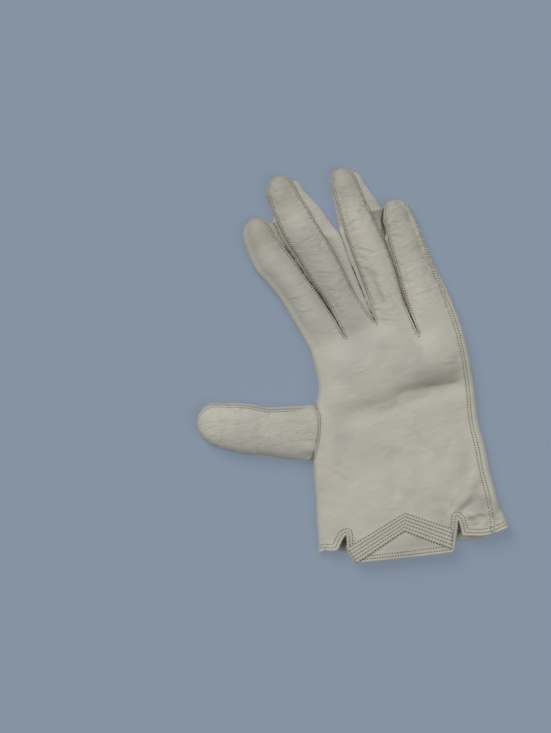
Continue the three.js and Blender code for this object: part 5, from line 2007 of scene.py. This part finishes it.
@dataclass
class Fourchette:
    """A strip folded into a V between two fingers, from one tip down to the crotch and up again."""

    leather: Material
    left: int
    gap: Gap
    cells_deep: int = 16
    wall: float = 0.6
    # How far the strip stays below the back and above the palm, and how far inside the seams,
    # where it shows and where the hide of a fingertip covers it.
    headroom: float = 0.42
    inset: float = 0.42
    tucked: float = 0.62
    # The strip draws away from the crotch over the share 1 / opening of a finger's length.
    opening: float = 14.0
    # Half the slit that stays between the walls, and half of it where the palm's edges meet.
    slit: float = 0.14
    closed_slit: float = 0.03
    # The share of its depth at which a free wall bulges most.
    free_depth: float = 0.50
    # The way down from the gap's open end over which the walls' meeting line moves to its place,
    # and over which the walls come together.
    settling: float = 17.0
    closing: float = 3.0
    # How far a wall laps over the other finger's edge, past the place where that finger is closed.
    overlap: float = 0.35
    # The palm's edges count as touching up to the first distance, and as apart from the second.
    touching: Pair = (1.4, 3.4)

    SWELLS = (Swell(0.22, 7.0, 3.0, (1.0, 1.0, 1.6)), Swell(0.08, 2.6, 8.0))
    PUCKERS = Swell(0.40, 2.2, 12.0)

    def side(self, finger: Finger, side: Side, along: Array, share: Array) -> Array:
        """Points of the wall that one finger shows to the gap.

        Args:
            finger: The finger.
            side: Its side.
            along: Share of its length.
            share: Share of the wall's depth.

        Returns:
            The points.
        """
        top = finger.wall(side, along, np.zeros_like(along))
        bottom = finger.wall(side, along, np.ones_like(along))
        opened = np.minimum(1.0, along * self.opening)
        behind = self.behind(finger, along)
        inset = opened * lerp(self.inset, self.tucked, behind)
        y = top[..., 1]
        meeting, low, apart = self.meeting(y)
        inside = (1.0 - behind) * smoothstep(along / 0.012)
        first, last = self.touching
        closed = 1.0 - smoothstep((apart - first) / (last - first))
        near = inside * np.maximum(closed, smoothstep((self.gap.closed_y - y) / self.closing))
        bulge = finger.side_bulge * smoothstep(along / finger.root_blend)
        facing = side.value
        widest = lerp(bottom[..., 0] + facing * (bulge - inset), meeting - facing * self.slit, near)
        ends = (bottom[..., 0] - facing * inset, low - facing * self.closed_slit)
        lowest = lerp(*ends, inside * closed)
        depth = lerp(self.free_depth, self.gap.meeting_depth, near)
        reach = np.sin(np.pi / 2.0 * np.clip(share / depth, 0.0, 1.0))
        x = lerp(top[..., 0] - facing * inset, widest, reach)
        x = x + (lowest - widest) * smoothstep((share - depth) / (1.0 - depth))
        z = lerp(top[..., 2] - self.headroom, bottom[..., 2] + self.headroom, share)
        return points_of(x, y + 0.5 * (1.0 - opened), z)

    def meeting(self, y: Array) -> tuple[Array, Array, Array]:
        """Where the two walls touch.

        Args:
            y: Height in the picture.

        Returns:
            x of the line where they touch below the seams, x where they touch at the palm, and
            how far apart the palm's edges are.
        """
        left, right = FINGERS[self.left], FINGERS[self.left + 1]
        along_left = self.along_of(left, left.right_root_y, y)
        along_right = self.along_of(right, right.left_root_y, y)
        on_left = left.edge(Side.RIGHT, along_left)
        on_right = right.edge(Side.LEFT, along_right)
        low = (on_left["out"] + on_right["out"]) / 2.0
        low = lerp(low, on_right["out"] + self.overlap, self.behind(right, along_right))
        low = lerp(low, on_left["out"] - self.overlap, self.behind(left, along_left))
        ends = (on_left["seam"] + self.inset, on_right["seam"] - self.inset)
        seams = lerp(*ends, self.gap.meeting_share)
        meeting = lerp(low, seams, smoothstep((self.gap.closed_y - y) / self.settling))
        return meeting, low, on_right["out"] - on_left["out"]

    @staticmethod
    def behind(finger: Finger, along: Array) -> Array:
        """How far places lie behind the hide that closes a fingertip, 0 to 1."""
        covered = finger.stations()[FINGER_ROWS + CLOSED_CAP_ROW - FLAP_ROWS]
        return smoothstep((along - covered + 0.06) / 0.06)

    @staticmethod
    def along_of(finger: Finger, root_y: float, y: Array) -> Array:
        """Share of a finger's length at a height in the picture."""
        return np.clip((y - root_y) / (finger.tip_y - root_y), 0.0, 1.0)

    def build(self) -> None:
        """Makes the strip and its wall."""
        left, right = FINGERS[self.left], FINGERS[self.left + 1]
        ends = FINGER_ROWS + CLOSED_CAP_ROW + 2
        down = left.stations()[:ends][::-1]
        up = right.stations()[1:ends]
        count = len(down) + len(up) - 1

        def place(column: Array, row: Array) -> Array:
            """Points of the strip, column by column along it."""
            share = row / self.cells_deep
            first = column < len(down)
            along_left = down[np.minimum(column, len(down) - 1)]
            along_right = up[np.clip(column - len(down), 0, len(up) - 1)]
            on_left = self.side(left, Side.RIGHT, along_left, share)
            on_right = self.side(right, Side.LEFT, along_right, share)
            return np.where(first[:, None], on_left, on_right)

        half_way = (left.right_root_y + left.tip_y) / 2.0 - 20.0

        def outside(sheet: Sheet) -> float:
            """How far the faces past half way up point away from their own fingers."""
            upper = [f for f in sheet.faces if f.calc_center_median().y > half_way]
            return sum(f.normal.x * self.facing(f.calc_center_median()) for f in upper)

        bm = new_sheet()
        add_patch(bm, count, self.cells_deep, place, Region.SIDE)
        close_sheet(bm, outside)
        self.shape(bm)
        name = f"fourchette_{left.name}_{right.name}"
        piece = add_piece(f"{name}_leather", bm, self.leather, [name])
        thicken(piece, self.wall)

    def shape(self, bm: Sheet) -> None:
        """Works soft swells and puckers into the strip, and paints shade on it between the fingers."""
        points = places(bm)
        x, y, _ = points.T
        relief = Relief(points)
        inside = np.array([not vert.is_boundary for vert in bm.verts])
        relief.rise += inside * swell_of(points, self.SWELLS)
        relief.crinkle += 0.5
        left, right = FINGERS[self.left], FINGERS[self.left + 1]
        seams = np.concatenate([left.seam_line(Side.RIGHT), right.seam_line(Side.LEFT)])
        distance, near = nearest(points, seams)
        relief.pucker(distance, near, inside, self.PUCKERS, 1.2, 1.8)
        # Painted shade along the seams' edges.
        relief.ridges(distance, 1.0, [Ridge(0.0, 0.3, 0.5, 0.45)])
        below = self.gap.closed_y - y
        # Painted shade deeper down the gap, and along the line where the walls meet.
        relief.shade += self.gap.painted_dusk * smoothstep((below + 12.0) / 14.0)
        line = Ridge(0.0, 0.0, 0.5, 0.2)
        relief.ridges(np.abs(x - self.meeting(y)[0]), smoothstep(below / 16.0), [line])
        relief.apply(bm)

    def facing(self, place: Vector) -> float:
        """Which way the strip shows its face: 1 on the left finger's wall, -1 on the right one's."""
        left, right = FINGERS[self.left], FINGERS[self.left + 1]
        edges = ((left.sections, "out2"), (right.sections, "out1"))
        middle = sum(float(profile(rows, "y", column, place.y)) for rows, column in edges) / 2.0
        return 1.0 if place.x < middle else -1.0


@dataclass
class ChevronBand:
    """The corded V on the tab: leather stitched down between five fine cords."""

    leather: Material
    thread: Material
    hole: Material
    trank: Trank
    cords: int = 5
    cord_height: float = 0.55
    # The power of the sine that a cord's section follows. Below 1 it is fuller.
    roundness: float = 0.75
    lift: float = 0.34
    stitch_lift: float = 0.26
    base: float = 0.26
    groove_width: float = 0.50
    # How dark the painted shade in the grooves is.
    groove_painted_shade: float = 0.75
    # Height of the tab, from which the leather is looked for past its edge.
    tab_middle: float = 9.0
    cells_across: int = 40
    cells_arm: int = 44
    # Outer and inner edge of the V: left end, point and right end.
    UPPER = ((-49.8, -53.2), (-12.5, -44.9), (9.4, -62.0))
    LOWER = ((-47.0, -62.4), (-16.2, -54.0), (6.0, -72.4))

    def plan(self, along: Array, across: Array) -> Array:
        """Plan position for a share along both arms, 0 to 2, and a share across the cords."""
        corners = lerp(np.array(self.UPPER), np.array(self.LOWER), across[..., None, None])
        low = np.minimum(along.astype(int), 1)
        number = np.arange(len(along))
        return lerp(corners[number, low], corners[number, low + 1], (along - low)[..., None])

    def laid(self, along: Array, across: Array, rise: Amount) -> Array:
        """Points at shares along and across the band, raised off the leather below it.

        Args:
            along: Share along both arms, 0 to 2.
            across: Share across the cords.
            rise: How far the points lie above the band's lowest ones.

        Returns:
            The points.
        """
        plan = self.plan(along, across)
        heights = []
        for x, y in plan:
            hit, _ = straight_down(self.trank.surface, x, y)
            if hit is None or hit.z < BACK_LOW:
                hit = self.trank.surface.find_nearest(Vector((x, y, self.tab_middle)))[0]
            heights.append(hit.z)
        return points_of(plan[:, 0], plan[:, 1], np.array(heights) + self.lift + rise)

    def build(self) -> None:
        """Makes the corded strip and sews it along its grooves."""
        def place(column: Array, row: Array) -> Array:
            """Points of the strip: cords across it, and ends that run out flat."""
            along = column / self.cells_arm
            across = row / self.cells_across
            cord = np.abs(np.sin(np.pi * self.cords * across)) ** self.roundness
            ends = 0.3 + 0.7 * smoothstep(np.minimum(along, 2.0 - along) / 0.03)
            return self.laid(along, across, self.cord_height * cord * ends)

        bm = new_sheet()
        add_patch(bm, self.cells_arm * 2, self.cells_across, place, Region.BACK)
        close_sheet(bm, lambda sheet: sum(face.normal.z for face in sheet.faces))
        layer = bm.verts.layers.float["shade"]
        stitching = Stitching(pitch=1.70, length=0.95, thickness=0.58, hole=0.78)
        grooves = range(self.cords + 1)
        for groove in grooves:
            line = self.groove(groove, np.linspace(0.02, 1.98, 120))
            stitching.sew([(Vector(point), Vector((0.0, 0.0, 1.0))) for point in line], self.stitch_lift)
        along = np.linspace(0.0, 2.0, 400)
        # Painted shade along the grooves between the cords.
        distance, _ = nearest(places(bm), np.concatenate([self.groove(k, along) for k in grooves]))
        for vert, painted_shade in zip(bm.verts, self.groove_painted_shade * bump(distance, 0.0, self.groove_width)):
            vert[layer] = float(painted_shade)
        stitching.finish("chevron", self.thread, self.hole)
        piece = add_piece("chevron_band_leather", bm, self.leather, ["chevron_band"])
        thicken(piece, self.base)

    def groove(self, number: int, along: Array) -> Array:
        """Points along the bottom of one groove."""
        return self.laid(along, np.full_like(along, number / self.cords), 0.0)


@dataclass(frozen=True)
class SoftSun:
    """A broad distant light, given by the way that it comes from in the picture."""

    name: str
    right: float
    up: float
    towards_camera: float
    strength: float
    spread: float = math.radians(38.0)


@dataclass(frozen=True)
class Studio:
    """Paper floor, soft light from the top of the picture, and a camera straight above."""

    tilt: float = math.radians(19.0)
    centre: Pair = (-54.3, 56.3)
    picture_height_mm: float = 410.5
    camera_height: float = 1.15
    sensor_mm: float = 36.0
    focus_height_mm: float = 8.0
    sky: float = 0.20
    lights: tuple[SoftSun, ...] = (
        SoftSun("key light", -0.60, 0.85, 1.05, 1.43),
        SoftSun("fill light", 0.80, -0.35, 1.20, 0.50),
    )

    def build(self) -> None:
        """Sets up the floor, the lights and the camera."""
        self.add_floor()
        for light in self.lights:
            self.add_light(light)
        world = bpy.data.worlds.new("studio air")
        world.use_nodes = True
        background = world.node_tree.nodes["Background"]
        background.inputs["Color"].default_value = linear("#f4f6f8")
        background.inputs["Strength"].default_value = self.sky
        bpy.context.scene.world = world
        bpy.context.scene.view_settings.view_transform = "Standard"
        self.add_camera()

    def add_floor(self) -> None:
        """Lays the paper that the glove rests on."""
        bm = bmesh.new()
        bmesh.ops.create_grid(bm, x_segments=1, y_segments=1, size=2.0)
        mesh = bpy.data.meshes.new("backdrop")
        bm.to_mesh(mesh)
        bm.free()
        mesh.materials.append(BackdropPaper().material())
        floor = bpy.data.objects.new("backdrop", mesh)
        floor.location.z = -0.0003
        bpy.context.scene.collection.objects.link(floor)

    def add_light(self, sun: SoftSun) -> None:
        """Adds a soft light that comes from its way in the picture."""
        right = Vector((math.cos(self.tilt), -math.sin(self.tilt), 0.0))
        up = Vector((math.sin(self.tilt), math.cos(self.tilt), 0.0))
        way = right * sun.right + up * sun.up + Vector((0.0, 0.0, sun.towards_camera))
        data = bpy.data.lights.new(sun.name, "SUN")
        data.energy = sun.strength
        data.angle = sun.spread
        light = bpy.data.objects.new(sun.name, data)
        light.rotation_euler = (-way).to_track_quat("-Z", "Y").to_euler()
        bpy.context.scene.collection.objects.link(light)

    def add_camera(self) -> None:
        """Adds a long lens straight above, turned so that the glove leans as it does there."""
        data = bpy.data.cameras.new("camera")
        data.sensor_width = self.sensor_mm
        distance = self.camera_height - self.focus_height_mm * MM
        data.lens = self.sensor_mm * distance / (self.picture_height_mm * MM)
        data.clip_end = 20.0
        camera = bpy.data.objects.new("camera", data)
        camera.location = (self.centre[0] * MM, self.centre[1] * MM, self.camera_height)
        camera.rotation_euler = (0.0, 0.0, -self.tilt)
        bpy.context.scene.collection.objects.link(camera)
        bpy.context.scene.camera = camera


def main() -> None:
    """Dresses the glove piece by piece and sets up the studio."""
    logging.basicConfig(level=logging.INFO, format="%(relativeCreated)6d ms  %(message)s")
    leather = KidLeather("polished ivory kid").material()
    strip = KidLeather("ivory kid fourchette strip", light="#d8d5c8", cloudy="#cdcabe").material()
    corded = KidLeather(
        "corded ivory kid", light="#d9d5c6", cloudy="#cfcbbb", wrinkle_height_mm=0.08
    ).material()
    thread = SewingThread().material()
    # The needle holes are dark dots of painted shade.
    hole = NeedleHoleShade().material()
    trank = Trank(leather, thread, hole)
    trank.build()
    Thumb(leather, thread, hole, trank).build()
    for left, gap in enumerate(GAPS):
        Fourchette(strip, left, gap).build()
    ChevronBand(corded, thread, hole, trank).build()
    Studio().build()


if __name__ == "__main__":
    main()
